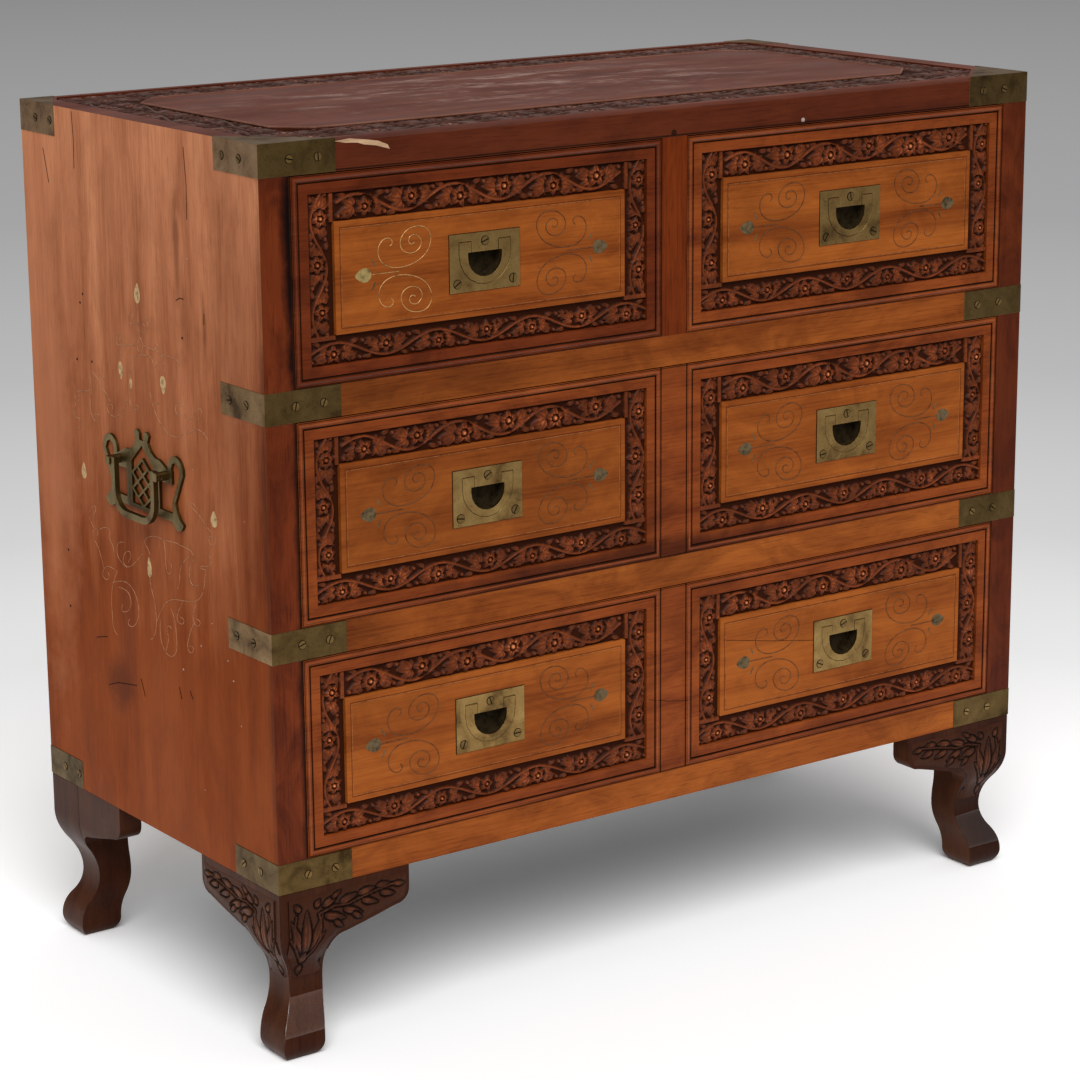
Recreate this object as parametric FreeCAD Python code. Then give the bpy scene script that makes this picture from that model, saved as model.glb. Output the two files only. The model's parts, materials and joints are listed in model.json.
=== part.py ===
import FreeCAD, Part
import math
import os
from FreeCAD import Vector

# Campaign chest: a brass-bound case of two short drawers over two long ones, on cabriole legs.
# Millimetres, +Z up, the front faces -Y, the origin is under the middle of the outside box.

# Case
case_width = 900.0
case_depth = 440.0
leg_height = 165.0
top_thickness = 29.0
bottom_thickness = 29.0
rail_height = 29.0
rail_depth = 60.0
opening_height = 187.0
side_thickness = 22.0
stile_width = 31.0
stile_depth = 22.0
center_stile_width = 29.0
top_edge_radius = 5.0
back_thickness = 12.0
back_rebate_depth = 8.0
back_board_count = 5
runner_ledge = 5.0
guide_height = 25.0

# Sunk band for the carving round the top
top_band_side_margin = 24.0
top_band_front_margin = 10.0
top_band_side_width = 50.0
top_band_front_width = 64.0
top_band_depth = 3.0
top_panel_clip = 30.0
bracket_gap = 4.0

# Cabriole legs, measured inwards from the outer corner and up from the floor
post_width = 54.0
knee_height = 126.0
ankle_height = 66.0
toe_height = 14.0
ankle_inset = 19.5
toe_inset = 2.5
sole_inset = 9.0
ankle_width = 36.0
toe_width = 44.0
sole_width = 31.0
ear_length = 140.0
ear_thickness = 24.0
ear_tip_depth = 36.0
ear_root_depth = 50.0
ear_tip_radius = 14.0
ear_root_radius = 16.0
ear_lip = 1.0

# Brass straps let into the corners
strap_thickness = 1.5
strap_proud = 0.5
front_strap_front_leg = 78.0
front_strap_side_leg = 75.0
back_strap_side_leg = 68.0
back_strap_back_leg = 36.0
strap_screw_inset = 31.0
strap_screw_pitch = 29.0
back_screw_inset = 22.0
strap_screw_radius = 4.0
screw_head_height = 0.6
screw_head_sides = 6

# Pins that the bails turn on
pin_sides = 12
pin_clearance = 0.05

# Drawers
drawer_gap = 1.0
drawer_running_gap = 0.4
drawer_front_thickness = 22.0
drawer_side_thickness = 10.0
drawer_side_height = 160.0
drawer_back_gap = 28.0
drawer_back_thickness = 10.0
drawer_back_drop = 6.0
drawer_bottom_thickness = 8.0
drawer_bottom_lift = 8.0
drawer_groove_depth = 5.0
tail_count = 3
tail_lap = 14.0
tail_root_width = 24.0
tail_end_width = 32.0

# Moulded and sunk borders on the drawer fronts
bead_width = 6.0
bead_groove_width = 1.5
bead_groove_depth = 1.2
carving_margin = 17.0
carving_width = 26.0
carving_depth = 4.0

# Flush pulls
pull_plate_width = 77.0
pull_plate_height = 53.0
pull_plate_proud = 1.0
pull_plate_inlay = 1.0
bail_top_margin = 7.5
bail_width = 56.0
bail_height = 39.5
bail_thickness = 3.0
bail_ring_width = 6.4
bail_arm_width = 13.0
bail_clearance = 0.4
bail_end_chamfer = 0.8
bail_pin_radius = 1.0
bail_pin_length = 2.2
finger_hole_width = 37.0
finger_hole_top_margin = 17.5
finger_hole_depth = 12.0
cup_wall = 3.0
cup_floor = 1.5
pocket_clearance = 0.3
half_round_sides = 10
pull_screw_radius = 4.5
pull_screw_margin = 8.0

# Carrying handles on the sides, measured from the line through the two posts
handle_height = 522.0
handle_plate_thickness = 3.0
handle_half_width = 76.0
handle_finial_rise = 34.0
handle_finial_half_width = 14.0
handle_prong_chamfer = 3.0
handle_notch_half_width = 4.0
handle_notch_depth = 9.0
handle_neck_drop = 7.0
handle_shoulder_half_width = 33.0
handle_shoulder_rise = 12.0
handle_shoulder_hollow = 4.0
handle_hollow_flats = 3
handle_ear_width = 28.0
handle_ear_root_rise = 5.0
handle_ear_bow = 16.0
handle_ear_flats = 8
handle_eye_rise = 2.0
handle_eye_radius = 8.0
handle_eye_sides = 8
handle_waist_half_width = 60.0
handle_waist_drop = 24.0
handle_waist_hollow = 3.0
handle_foot_half_width = 74.0
handle_foot_width = 20.0
handle_foot_bow = 7.0
handle_foot_flats = 5
handle_apron_drop = 42.0
handle_window_inner = 31.0
handle_window_top = 7.0
handle_window_bottom = 34.0
handle_arm_half_width = 55.0
handle_strip_width = 5.0
lattice_opening_half_width = 21.0
lattice_opening_shoulder = 2.0
lattice_opening_peak = 20.0
lattice_opening_bottom = 38.0
lattice_half_width = 20.0
lattice_half_height = 22.5
lattice_drop = 16.0
lattice_bar = 2.4
handle_post_spread = 45.0
handle_post_half_width = 4.0
handle_post_chamfer = 1.5
handle_shank_half_width = 2.5
handle_standoff = 8.5
handle_eye_wall = 4.0
handle_pin_radius = 2.0
handle_pin_reach = 4.0
handle_bar_width = 6.4
handle_bar_depth = 5.0
handle_bar_gap = 0.6
handle_bail_rise = 4.0
handle_bail_drop = 50.0
handle_bend_radius = 24.0
handle_bend_sides = 5

# Places worked out from the sizes above
front_reach = pull_plate_proud + screw_head_height
back_reach = strap_proud + screw_head_height
front_y = front_reach - (front_reach + case_depth + back_reach) / 2
back_y = front_y + case_depth
middle_y = (front_y + back_y) / 2
half_width = case_width / 2
inner_half = half_width - side_thickness
opening_half = half_width - stile_width
center_half = center_stile_width / 2
bottom_opening_z = leg_height + bottom_thickness
row_pitch = opening_height + rail_height
middle_opening_z = bottom_opening_z + row_pitch
top_opening_z = middle_opening_z + row_pitch
under_top_z = top_opening_z + opening_height
top_z = under_top_z + top_thickness
back_inside_y = back_y - back_thickness
drawer_end_y = back_inside_y - drawer_back_gap
strap_sink = strap_thickness - strap_proud
panel_center = (opening_half + center_half) / 2
panel_half = (opening_half - center_half) / 2 - drawer_gap


def box(x_low, x_high, y_low, y_high, z_low, z_high):
    corner = Vector(x_low, y_low, z_low)
    return Part.makeBox(x_high - x_low, y_high - y_low, z_high - z_low, corner)


def prism(points, sweep):
    """A straight-sided outline swept along a vector."""
    outline = Part.makePolygon(points + points[:1])
    return Part.Face(outline).extrude(sweep)


def many_sided(place, sweep, radius, sides):
    """A small round form with flats, such as a screw head or a pin, swept along a vector."""
    across = Vector(0, 0, radius)
    turn = FreeCAD.Rotation(sweep, 360 / sides)
    points = []
    for _ in range(sides):
        points.append(place + across)
        across = turn.multVec(across)
    return prism(points, sweep)


def pin_bore(start, sweep, radius):
    """The broached hole that a pin turns in: its flats clear the pin."""
    flat_radius = radius + pin_clearance
    return many_sided(start, sweep, flat_radius / math.cos(math.pi / pin_sides), pin_sides)


def line(start, end):
    return Part.LineSegment(start, end).toShape()


def arc(start, middle, end):
    return Part.Arc(start, middle, end).toShape()


def fused(shapes):
    return shapes[0].fuse(shapes[1:]).removeSplitter()


def mirrored_x(shape):
    return shape.mirror(Vector(0, 0, 0), Vector(1, 0, 0))


def mirrored_y(shape):
    return shape.mirror(Vector(0, middle_y, 0), Vector(0, 1, 0))


def save(node, *shapes):
    solids = [solid for shape in shapes for solid in shape.Solids]
    Part.makeCompound(solids).exportStep("parts/" + node + ".step")


# Brass straps: an L round each corner at the top and bottom and round the front corners at the rails


def corner_strap(across, along, z_low, z_high):
    """The strap round the front left corner: across the front and along the side."""
    x_out = -half_width - strap_proud
    y_out = front_y - strap_proud
    front = box(x_out, -half_width + across, y_out, y_out + strap_thickness, z_low, z_high)
    side = box(x_out, x_out + strap_thickness, y_out, front_y + along, z_low, z_high)
    return fused([front, side])


def bracket_triangle(across, along, grow, z_low, height):
    """The corner triangle on the top, grown outwards from its long edge."""
    x_out = -half_width - strap_proud
    y_out = front_y - strap_proud
    points = [
        Vector(x_out, y_out, z_low),
        Vector(-half_width + across + grow, y_out, z_low),
        Vector(x_out, front_y + along + grow, z_low),
    ]
    return prism(points, Vector(0, 0, height))


def top_bracket(across, along):
    strap = corner_strap(across, along, under_top_z, top_z + strap_proud)
    plate = bracket_triangle(across, along, 0, top_z - strap_sink, strap_thickness)
    return fused([strap, plate])


def front_corners(make):
    front = make(front_strap_front_leg, front_strap_side_leg)
    return [front, mirrored_x(front)]


def four_corners(make):
    """The front and back shapes of one level, each on the left and on the right."""
    back = mirrored_y(make(back_strap_back_leg, back_strap_side_leg))
    return front_corners(make) + [back, mirrored_x(back)]


def strap_level(z_low, height, corners):
    return corners(lambda across, along: corner_strap(across, along, z_low, z_low + height))


def screw_head(place, direction, radius):
    """A low head that lies on the brass and stands out along a direction."""
    return many_sided(place, direction * screw_head_height, radius, screw_head_sides)


def strap_screw_steps():
    return [strap_screw_inset, strap_screw_inset + strap_screw_pitch]


def front_strap_screws(z):
    """The heads of one level of front straps, at mid height of the strap."""
    heads = []
    for step in strap_screw_steps():
        on_front = Vector(-half_width + step, front_y - strap_proud, z)
        on_side = Vector(-half_width - strap_proud, front_y + step, z)
        heads.append(screw_head(on_front, Vector(0, -1, 0), strap_screw_radius))
        heads.append(screw_head(on_side, Vector(-1, 0, 0), strap_screw_radius))
    return heads + [mirrored_x(head) for head in heads]


def back_strap_screws(z):
    """The heads of one level of back straps: two on the side and one on the narrow back."""
    heads = []
    for step in strap_screw_steps():
        on_side = Vector(-half_width - strap_proud, back_y - step, z)
        heads.append(screw_head(on_side, Vector(-1, 0, 0), strap_screw_radius))
    on_back = Vector(-half_width + back_screw_inset, back_y + strap_proud, z)
    heads.append(screw_head(on_back, Vector(0, 1, 0), strap_screw_radius))
    return heads + [mirrored_x(head) for head in heads]


# Case: boards mitred at the top and front corners, a frame of stiles and rails, and a boarded back


def back_space():
    """The rebate for the back boards, let into the sides and the top."""
    reach = inner_half + back_rebate_depth
    return box(-reach, reach, back_inside_y, back_y, leg_height, under_top_z + back_rebate_depth)


def back_boards():
    reach = inner_half + back_rebate_depth
    width = 2 * reach / back_board_count
    z_high = under_top_z + back_rebate_depth
    edges = [-reach + width * index for index in range(back_board_count)]
    return [box(x, x + width, back_inside_y, back_y, leg_height, z_high) for x in edges]


def left_side(straps, posts):
    panel = box(-half_width, -inner_half, front_y, back_y, leg_height, top_z)
    top_mitre = prism(
        [
            Vector(-half_width, front_y, top_z),
            Vector(-inner_half, front_y, top_z),
            Vector(-inner_half, front_y, under_top_z),
        ],
        Vector(0, case_depth, 0),
    )
    front_mitre = prism(
        [
            Vector(-half_width, front_y, leg_height),
            Vector(-inner_half, front_y, leg_height),
            Vector(-inner_half, front_y + stile_depth, leg_height),
        ],
        Vector(0, 0, under_top_z - leg_height),
    )
    return panel.cut([top_mitre, front_mitre, back_space()] + straps + posts)


def left_stile():
    points = [
        Vector(-half_width, front_y, leg_height),
        Vector(-opening_half, front_y, leg_height),
        Vector(-opening_half, front_y + stile_depth, leg_height),
        Vector(-inner_half, front_y + stile_depth, leg_height),
    ]
    return prism(points, Vector(0, 0, under_top_z - leg_height))


def clipped_panel(x_reach, y_reach, clip, z_low, height):
    """A rectangle with cut corners, for the plain middle of the top."""
    points = []
    for x_sign, y_sign in ((1, 1), (-1, 1), (-1, -1), (1, -1)):
        along_x = Vector(x_sign * (x_reach - clip), middle_y + y_sign * y_reach, z_low)
        along_y = Vector(x_sign * x_reach, middle_y + y_sign * (y_reach - clip), z_low)
        points += [along_y, along_x] if x_sign == y_sign else [along_x, along_y]
    return prism(points, Vector(0, 0, height))


def carved_band():
    """The sunk band round the top, stopped at the corner brackets."""
    x_out = half_width - top_band_side_margin
    y_out = case_depth / 2 - top_band_front_margin
    z_low = top_z - top_band_depth
    outside = box(-x_out, x_out, middle_y - y_out, middle_y + y_out, z_low, top_z)
    x_in = x_out - top_band_side_width
    y_in = y_out - top_band_front_width
    inside = clipped_panel(x_in, y_in, top_panel_clip, z_low, top_band_depth)
    stops = four_corners(
        lambda across, along: bracket_triangle(across, along, bracket_gap, z_low, top_band_depth)
    )
    return outside.cut([inside] + stops)


def top_board(straps):
    points = [
        Vector(-half_width, front_y, top_z),
        Vector(half_width, front_y, top_z),
        Vector(inner_half, front_y, under_top_z),
        Vector(-inner_half, front_y, under_top_z),
    ]
    board = prism(points, Vector(0, case_depth, 0))
    edges = [
        edge for edge in board.Edges
        if abs(edge.CenterOfMass.y - front_y) < top_edge_radius
        and abs(edge.CenterOfMass.z - top_z) < top_edge_radius
    ]
    board = board.makeFillet(top_edge_radius, edges)
    return board.cut([carved_band(), back_space()] + straps)


def cross_board(z_low, height, depth, straps):
    """A rail or the bottom board: between the sides and notched round the stiles."""
    board = box(-inner_half, inner_half, front_y, front_y + depth, z_low, z_low + height)
    stile = left_stile()
    return board.cut([stile, mirrored_x(stile)] + straps)


def drawer_runners():
    y_low = front_y + rail_depth
    reach = inner_half - opening_half + drawer_gap + drawer_side_thickness + runner_ledge
    runners = []
    for z in (middle_opening_z, top_opening_z):
        left = box(-inner_half, -inner_half + reach, y_low, back_inside_y, z - rail_height, z)
        runners += [left, mirrored_x(left)]
    center_reach = center_half + drawer_gap + drawer_side_thickness + runner_ledge
    z = top_opening_z
    runners.append(box(-center_reach, center_reach, y_low, back_inside_y, z - rail_height, z))
    return runners


def drawer_guides():
    y_low = front_y + stile_depth
    guides = []
    for z in (bottom_opening_z, middle_opening_z, top_opening_z):
        left = box(-inner_half, -opening_half, y_low, back_inside_y, z, z + guide_height)
        guides += [left, mirrored_x(left)]
    z = top_opening_z
    guides.append(box(-center_half, center_half, y_low, back_inside_y, z, z + guide_height))
    return guides


# Cabriole legs: one profile cut through from two neighbouring faces, with a scrolled ear beside it


def profile_point(inset, z):
    return Vector(inset, 0, z)


def ogee(start, end):
    """Two equal arcs that leave both end points upright."""
    step = end - start
    if step.x == 0:
        return [line(start, end)]
    half_turn = math.atan2(abs(step.x), abs(step.z))
    radius = (step.x ** 2 + step.z ** 2) / (4 * abs(step.x))
    side_step = math.copysign(radius * (1 - math.cos(half_turn)), step.x)
    up_step = math.copysign(radius * math.sin(half_turn), step.z)
    bulge = Vector(side_step, 0, up_step)
    middle = (start + end) / 2
    return [arc(start, start + bulge, middle), arc(middle, end - bulge, end)]


def toe_arc(toe, sole):
    """The round under the toe, upright where it starts."""
    step = sole - toe
    radius = (step.x ** 2 + step.z ** 2) / (2 * abs(step.x))
    half_turn = math.atan2(abs(step.x), abs(step.z))
    side_step = math.copysign(radius * (1 - math.cos(half_turn)), step.x)
    return arc(toe, toe + Vector(side_step, 0, -radius * math.sin(half_turn)), sole)


def leg_profile():
    """The outline of a leg, seen square to one of its faces."""
    shoulder_z = leg_height - ear_root_depth - ear_root_radius
    outer_top = profile_point(0, leg_height)
    outer_knee = profile_point(0, knee_height)
    outer_ankle = profile_point(ankle_inset, ankle_height)
    outer_toe = profile_point(toe_inset, toe_height)
    outer_sole = profile_point(sole_inset, 0)
    inner_top = profile_point(post_width, leg_height)
    inner_knee = profile_point(post_width, shoulder_z)
    inner_ankle = profile_point(ankle_inset + ankle_width, ankle_height)
    inner_toe = profile_point(toe_inset + toe_width, toe_height)
    inner_sole = profile_point(sole_inset + sole_width, 0)
    edges = [line(inner_top, outer_top), line(outer_top, outer_knee)]
    edges += ogee(outer_knee, outer_ankle) + ogee(outer_ankle, outer_toe)
    edges += [toe_arc(outer_toe, outer_sole), line(outer_sole, inner_sole)]
    edges += [toe_arc(inner_toe, inner_sole)] + ogee(inner_toe, inner_ankle)
    edges += ogee(inner_ankle, inner_knee) + [line(inner_knee, inner_top)]
    return Part.Face(Part.Wire(Part.__sortEdges__(edges)))


def front_left_post():
    sawn = leg_profile().extrude(Vector(0, post_width + ankle_width, 0))
    return at_front_left(sawn.common(swapped(sawn)))


def swapped(shape):
    """The same form on the neighbouring face of the leg."""
    return shape.mirror(Vector(0, 0, 0), Vector(1, -1, 0))


def at_front_left(shape):
    return shape.translated(Vector(-half_width, front_y, 0))


def ear():
    """A bracket on the front face, from the post to its rounded end, worked back to the curve of the knee."""
    root = post_width + ear_lip + ear_root_radius
    low_z = leg_height - ear_root_depth
    tip_z = leg_height - ear_tip_depth
    round_cut = 1 - math.sqrt(0.5)
    top_in = profile_point(post_width, leg_height)
    top_out = profile_point(ear_length, leg_height)
    tip_start = profile_point(ear_length, tip_z + ear_tip_radius)
    tip_middle = profile_point(ear_length - round_cut * ear_tip_radius, tip_z + round_cut * ear_tip_radius)
    tip_end = profile_point(ear_length - ear_tip_radius, tip_z)
    root_start = profile_point(root, low_z)
    root_middle = profile_point(
        root - ear_root_radius * math.sqrt(0.5), low_z - round_cut * ear_root_radius
    )
    root_end = profile_point(post_width + ear_lip, low_z - ear_root_radius)
    foot = profile_point(post_width, low_z - ear_root_radius)
    edges = [
        line(top_in, top_out),
        line(top_out, tip_start),
        arc(tip_start, tip_middle, tip_end),
        line(tip_end, root_start),
        arc(root_start, root_middle, root_end),
        line(root_end, foot),
        line(foot, top_in),
    ]
    bracket = Part.Face(Part.Wire(edges)).extrude(Vector(0, ear_thickness, 0))
    knee = swapped(leg_profile().extrude(Vector(0, ear_length, 0)))
    return bracket.common(knee)


# Flush pulls: a plate with a cup behind it, and a bail that lies in the plate


def d_shape(x, z_top, z_arc, half, y_low, y_high):
    """A flat-topped shape with a half-round lower end filed in flats, swept from front to back."""
    points = [Vector(x - half, y_low, z_top), Vector(x + half, y_low, z_top)]
    for step in range(half_round_sides + 1):
        turn = math.pi * step / half_round_sides
        points.append(Vector(x + half * math.cos(turn), y_low, z_arc - half * math.sin(turn)))
    return prism(points, Vector(0, y_high - y_low, 0))


class PullPlaces:
    """The levels that the plate, its bail and the pocket behind them share."""

    def __init__(self, x, z):
        plate_top = z + pull_plate_height / 2
        self.x = x
        self.z = z
        self.face_y = front_y - pull_plate_proud
        self.bail_top = plate_top - bail_top_margin
        self.bail_arc = self.bail_top - bail_height + bail_width / 2
        self.hole_top = plate_top - finger_hole_top_margin
        self.hole_half = finger_hole_width / 2
        self.hole_arc = self.bail_top - bail_height + bail_ring_width + self.hole_half
        self.notch_half = bail_width / 2 - bail_arm_width
        self.pin_y = self.face_y + bail_thickness / 2
        self.pin_z = self.bail_top - bail_thickness / 2
        self.recess_half = bail_width / 2 + bail_clearance
        self.recess_top = self.bail_top + bail_clearance
        self.cup_half = self.recess_half + cup_wall
        self.cup_top = self.recess_top + cup_wall
        self.cup_back = self.face_y + finger_hole_depth + cup_floor


def pull_plate(at):
    half = pull_plate_width / 2
    low = at.z - pull_plate_height / 2
    flange = box(
        at.x - half, at.x + half, at.face_y, front_y + pull_plate_inlay, low, low + pull_plate_height
    )
    cup = d_shape(at.x, at.cup_top, at.bail_arc, at.cup_half, at.face_y, at.cup_back)
    recess_floor = at.face_y + bail_thickness + bail_clearance
    recess = d_shape(at.x, at.recess_top, at.bail_arc, at.recess_half, at.face_y, recess_floor)
    tongue_half = at.notch_half - bail_clearance
    tongue = box(
        at.x - tongue_half, at.x + tongue_half, at.face_y, recess_floor, at.hole_top, at.recess_top
    )
    hole_back = at.face_y + finger_hole_depth
    hole = d_shape(at.x, at.hole_top, at.hole_arc, at.hole_half, at.face_y, hole_back)
    pin_reach = bail_width / 2 + bail_pin_length + bail_clearance
    pin_start = Vector(at.x - pin_reach, at.pin_y, at.pin_z)
    pin_hole = pin_bore(pin_start, Vector(2 * pin_reach, 0, 0), bail_pin_radius)
    beside = box(
        at.x - at.recess_half, at.x + at.recess_half, at.face_y, at.cup_back, low, low + pull_plate_height
    )
    return fused([flange, cup]).cut([recess.cut(tongue), hole, pin_hole.cut(beside)])


def pull_bail(at):
    half = bail_width / 2
    back = at.face_y + bail_thickness
    ring = d_shape(at.x, at.bail_top, at.bail_arc, half, at.face_y, back)
    hole = d_shape(at.x, at.hole_top, at.hole_arc, at.hole_half, at.face_y, back)
    notch = box(
        at.x - at.notch_half, at.x + at.notch_half, at.face_y, back, at.hole_top, at.bail_top
    )
    cuts = [hole, notch]
    for y, inward in ((at.face_y, bail_end_chamfer), (back, -bail_end_chamfer)):
        edge = Vector(at.x - half, y, at.bail_top)
        points = [edge, edge + Vector(0, inward, 0), edge - Vector(0, 0, bail_end_chamfer)]
        cuts.append(prism(points, Vector(bail_width, 0, 0)))
    pieces = [ring.cut(cuts)]
    for side in (-1, 1):
        outside = Vector(at.x + side * half, at.pin_y, at.pin_z)
        pieces.append(many_sided(outside, Vector(side * bail_pin_length, 0, 0), bail_pin_radius, pin_sides))
    return fused(pieces)


def pull_screws(at):
    half = pull_plate_width / 2 - pull_screw_margin
    top = at.z + pull_plate_height / 2 - pull_screw_margin
    low = at.z - pull_plate_height / 2 + pull_screw_margin
    places = [Vector(at.x, at.face_y, top)]
    places += [Vector(at.x + side * half, at.face_y, low) for side in (-1, 1)]
    return [screw_head(place, Vector(0, -1, 0), pull_screw_radius) for place in places]


def pull_pocket(at):
    """The space cut in a drawer front for a plate and its cup."""
    half = pull_plate_width / 2
    low = at.z - pull_plate_height / 2
    let_in = box(
        at.x - half, at.x + half, front_y, front_y + pull_plate_inlay, low, low + pull_plate_height
    )
    cup = d_shape(
        at.x,
        at.cup_top + pocket_clearance,
        at.bail_arc,
        at.cup_half + pocket_clearance,
        front_y,
        at.cup_back + pocket_clearance,
    )
    return fused([let_in, cup])


# Drawers


def frame_groove(x, z_low, z_high, margin, width, depth):
    """A sunk rectangular frame round one panel of a drawer front."""
    half = panel_half - margin
    outside = box(x - half, x + half, front_y, front_y + depth, z_low + margin, z_high - margin)
    half -= width
    margin += width
    inside = box(x - half, x + half, front_y, front_y + depth, z_low + margin, z_high - margin)
    return outside.cut(inside)


def dovetails(x_low, x_high, y_root, reach, z_low, z_high):
    """A row of tails that widen away from the end of a drawer side."""
    pitch = (z_high - z_low) / tail_count
    tails = []
    for index in range(tail_count):
        middle = z_low + pitch * (index + 0.5)
        points = [
            Vector(x_low, y_root, middle - tail_root_width / 2),
            Vector(x_low, y_root + reach, middle - tail_end_width / 2),
            Vector(x_low, y_root + reach, middle + tail_end_width / 2),
            Vector(x_low, y_root, middle + tail_root_width / 2),
        ]
        tails.append(prism(points, Vector(x_high - x_low, 0, 0)))
    return tails


class Drawer:
    """One drawer in its opening, with a pull in each panel of its front."""

    def __init__(self, x_left, x_right, opening_z, panels):
        x_low = x_left + drawer_gap
        x_high = x_right - drawer_gap
        z_low = opening_z + drawer_running_gap
        z_high = opening_z + opening_height - drawer_gap
        y_front = front_y + drawer_front_thickness
        y_end = drawer_end_y
        y_back = y_end - drawer_back_thickness
        side_top = z_low + drawer_side_height
        floor_z = z_low + drawer_bottom_lift
        floor_top = floor_z + drawer_bottom_thickness
        rim = side_top - drawer_back_drop
        in_groove = drawer_side_thickness - drawer_groove_depth

        self.pulls = [PullPlaces(x, (z_low + z_high) / 2) for x in panels]
        self.bottom = box(
            x_low + in_groove, x_high - in_groove, y_front - drawer_groove_depth, y_end, floor_z, floor_top
        )
        self.sides = []
        for x in (x_low, x_high - drawer_side_thickness):
            x_far = x + drawer_side_thickness
            board = box(x, x_far, y_front, y_back, z_low, side_top)
            tails = dovetails(x, x_far, y_front, -tail_lap, z_low, side_top)
            tails += dovetails(x, x_far, y_back, drawer_back_thickness, floor_top, rim)
            self.sides.append(fused([board] + tails).cut(self.bottom))
        back = box(x_low, x_high, y_back, y_end, floor_top, rim)
        self.back = back.cut(self.sides)
        front = box(x_low, x_high, front_y, y_front, z_low, z_high)
        cuts = self.sides + [self.bottom]
        for at in self.pulls:
            cuts.append(frame_groove(at.x, z_low, z_high, bead_width, bead_groove_width, bead_groove_depth))
            cuts.append(frame_groove(at.x, z_low, z_high, carving_margin, carving_width, carving_depth))
            cuts.append(pull_pocket(at))
        if len(panels) > 1:
            cuts += self.false_stile_grooves(z_low, z_high)
        self.front = front.cut(cuts)

    def false_stile_grooves(self, z_low, z_high):
        """The two upright grooves that set off the plain strip between two panels."""
        grooves = []
        for side in (-1, 1):
            x = side * (center_half + drawer_gap) - bead_groove_width / 2
            grooves.append(
                box(x, x + bead_groove_width, front_y, front_y + bead_groove_depth, z_low, z_high)
            )
        return grooves

    def save(self, name):
        save(name + "_front", self.front)
        save(name + "_sides", *self.sides)
        save(name + "_back", self.back)
        save(name + "_bottom", self.bottom)
        hands = [""] if len(self.pulls) == 1 else ["_left", "_right"]
        screws = []
        for hand, at in zip(hands, self.pulls):
            save(name + hand + "_pull_plate", pull_plate(at))
            save(name + hand + "_pull_bail", pull_bail(at))
            screws += pull_screws(at)
        save(name + "_pull_screws", *screws)


# Carrying handles: a pierced plate, two posts and a bail on the left side, mirrored to the right


def on_plate(y, z):
    return Vector(-half_width, middle_y + y, handle_height + z)


def bowed(start, end, bow, flats):
    """An arc filed in flats, with its middle off the chord, outwards for a clockwise outline."""
    chord = end - start
    outward = Vector(0, -chord.z, chord.y).normalize()
    points = arc(start, (start + end) / 2 + outward * bow, end).discretize(flats + 1)
    return [line(first, second) for first, second in zip(points, points[1:])]


def half_plate_outline():
    """The plate's outline from the notch in its finial to the middle of its lower edge."""
    notch_z = handle_finial_rise - handle_notch_depth
    prong_z = handle_finial_rise - handle_prong_chamfer
    notch = on_plate(0, notch_z)
    notch_side = on_plate(handle_notch_half_width, notch_z)
    prong_inner = on_plate(handle_notch_half_width, prong_z)
    prong_top_inner = on_plate(handle_notch_half_width + handle_prong_chamfer, handle_finial_rise)
    prong_top_outer = on_plate(handle_finial_half_width - handle_prong_chamfer, handle_finial_rise)
    prong_outer = on_plate(handle_finial_half_width, prong_z)
    neck = on_plate(handle_finial_half_width - handle_prong_chamfer, prong_z - handle_neck_drop)
    shoulder = on_plate(handle_shoulder_half_width, handle_shoulder_rise)
    ear_root = on_plate(handle_half_width - handle_ear_width, handle_ear_root_rise)
    ear_side = on_plate(handle_half_width, handle_ear_root_rise)
    waist = on_plate(handle_waist_half_width, -handle_waist_drop)
    foot_side = on_plate(handle_foot_half_width, -handle_apron_drop)
    foot_root = on_plate(handle_foot_half_width - handle_foot_width, -handle_apron_drop)
    apron = on_plate(0, -handle_apron_drop)
    finial = [notch, notch_side, prong_inner, prong_top_inner, prong_top_outer, prong_outer, neck]
    edges = [line(start, end) for start, end in zip(finial, finial[1:])]
    edges += bowed(neck, shoulder, -handle_shoulder_hollow, handle_hollow_flats)
    edges.append(line(shoulder, ear_root))
    edges += bowed(ear_root, ear_side, handle_ear_bow, handle_ear_flats)
    edges.append(line(ear_side, waist))
    edges += bowed(waist, foot_side, -handle_waist_hollow, handle_hollow_flats)
    edges += bowed(foot_side, foot_root, handle_foot_bow, handle_foot_flats)
    edges.append(line(foot_root, apron))
    return edges


def diamond(y, z, half_y, half_z):
    points = [
        on_plate(y - half_y, z),
        on_plate(y, z + half_z),
        on_plate(y + half_y, z),
        on_plate(y, z - half_z),
    ]
    return prism(points, Vector(-handle_plate_thickness, 0, 0))


def lattice():
    """Seven diamonds of crossed bars, three in the middle and two on each side."""
    half_y = lattice_half_width / 2
    half_z = lattice_half_height / 3
    to_bar = half_y * half_z / math.hypot(half_y, half_z)
    share = lattice_bar / (2 * to_bar)
    places = [(0, 2 * half_z), (0, 0), (0, -2 * half_z)]
    places += [(side * half_y, level * half_z) for side in (-1, 1) for level in (-1, 1)]
    rings = []
    for y, z in places:
        outer = diamond(y, z - lattice_drop, half_y * (1 + share), half_z * (1 + share))
        rings.append(outer.cut(diamond(y, z - lattice_drop, half_y * (1 - share), half_z * (1 - share))))
    return fused(rings)


def middle_opening():
    """The gabled opening that the lattice stands in."""
    reach = lattice_opening_half_width
    corners = [
        on_plate(-reach, -lattice_opening_bottom),
        on_plate(-reach, lattice_opening_shoulder),
        on_plate(0, lattice_opening_peak),
        on_plate(reach, lattice_opening_shoulder),
        on_plate(reach, -lattice_opening_bottom),
    ]
    return prism(corners, Vector(-handle_plate_thickness, 0, 0)).cut(lattice())


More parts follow.
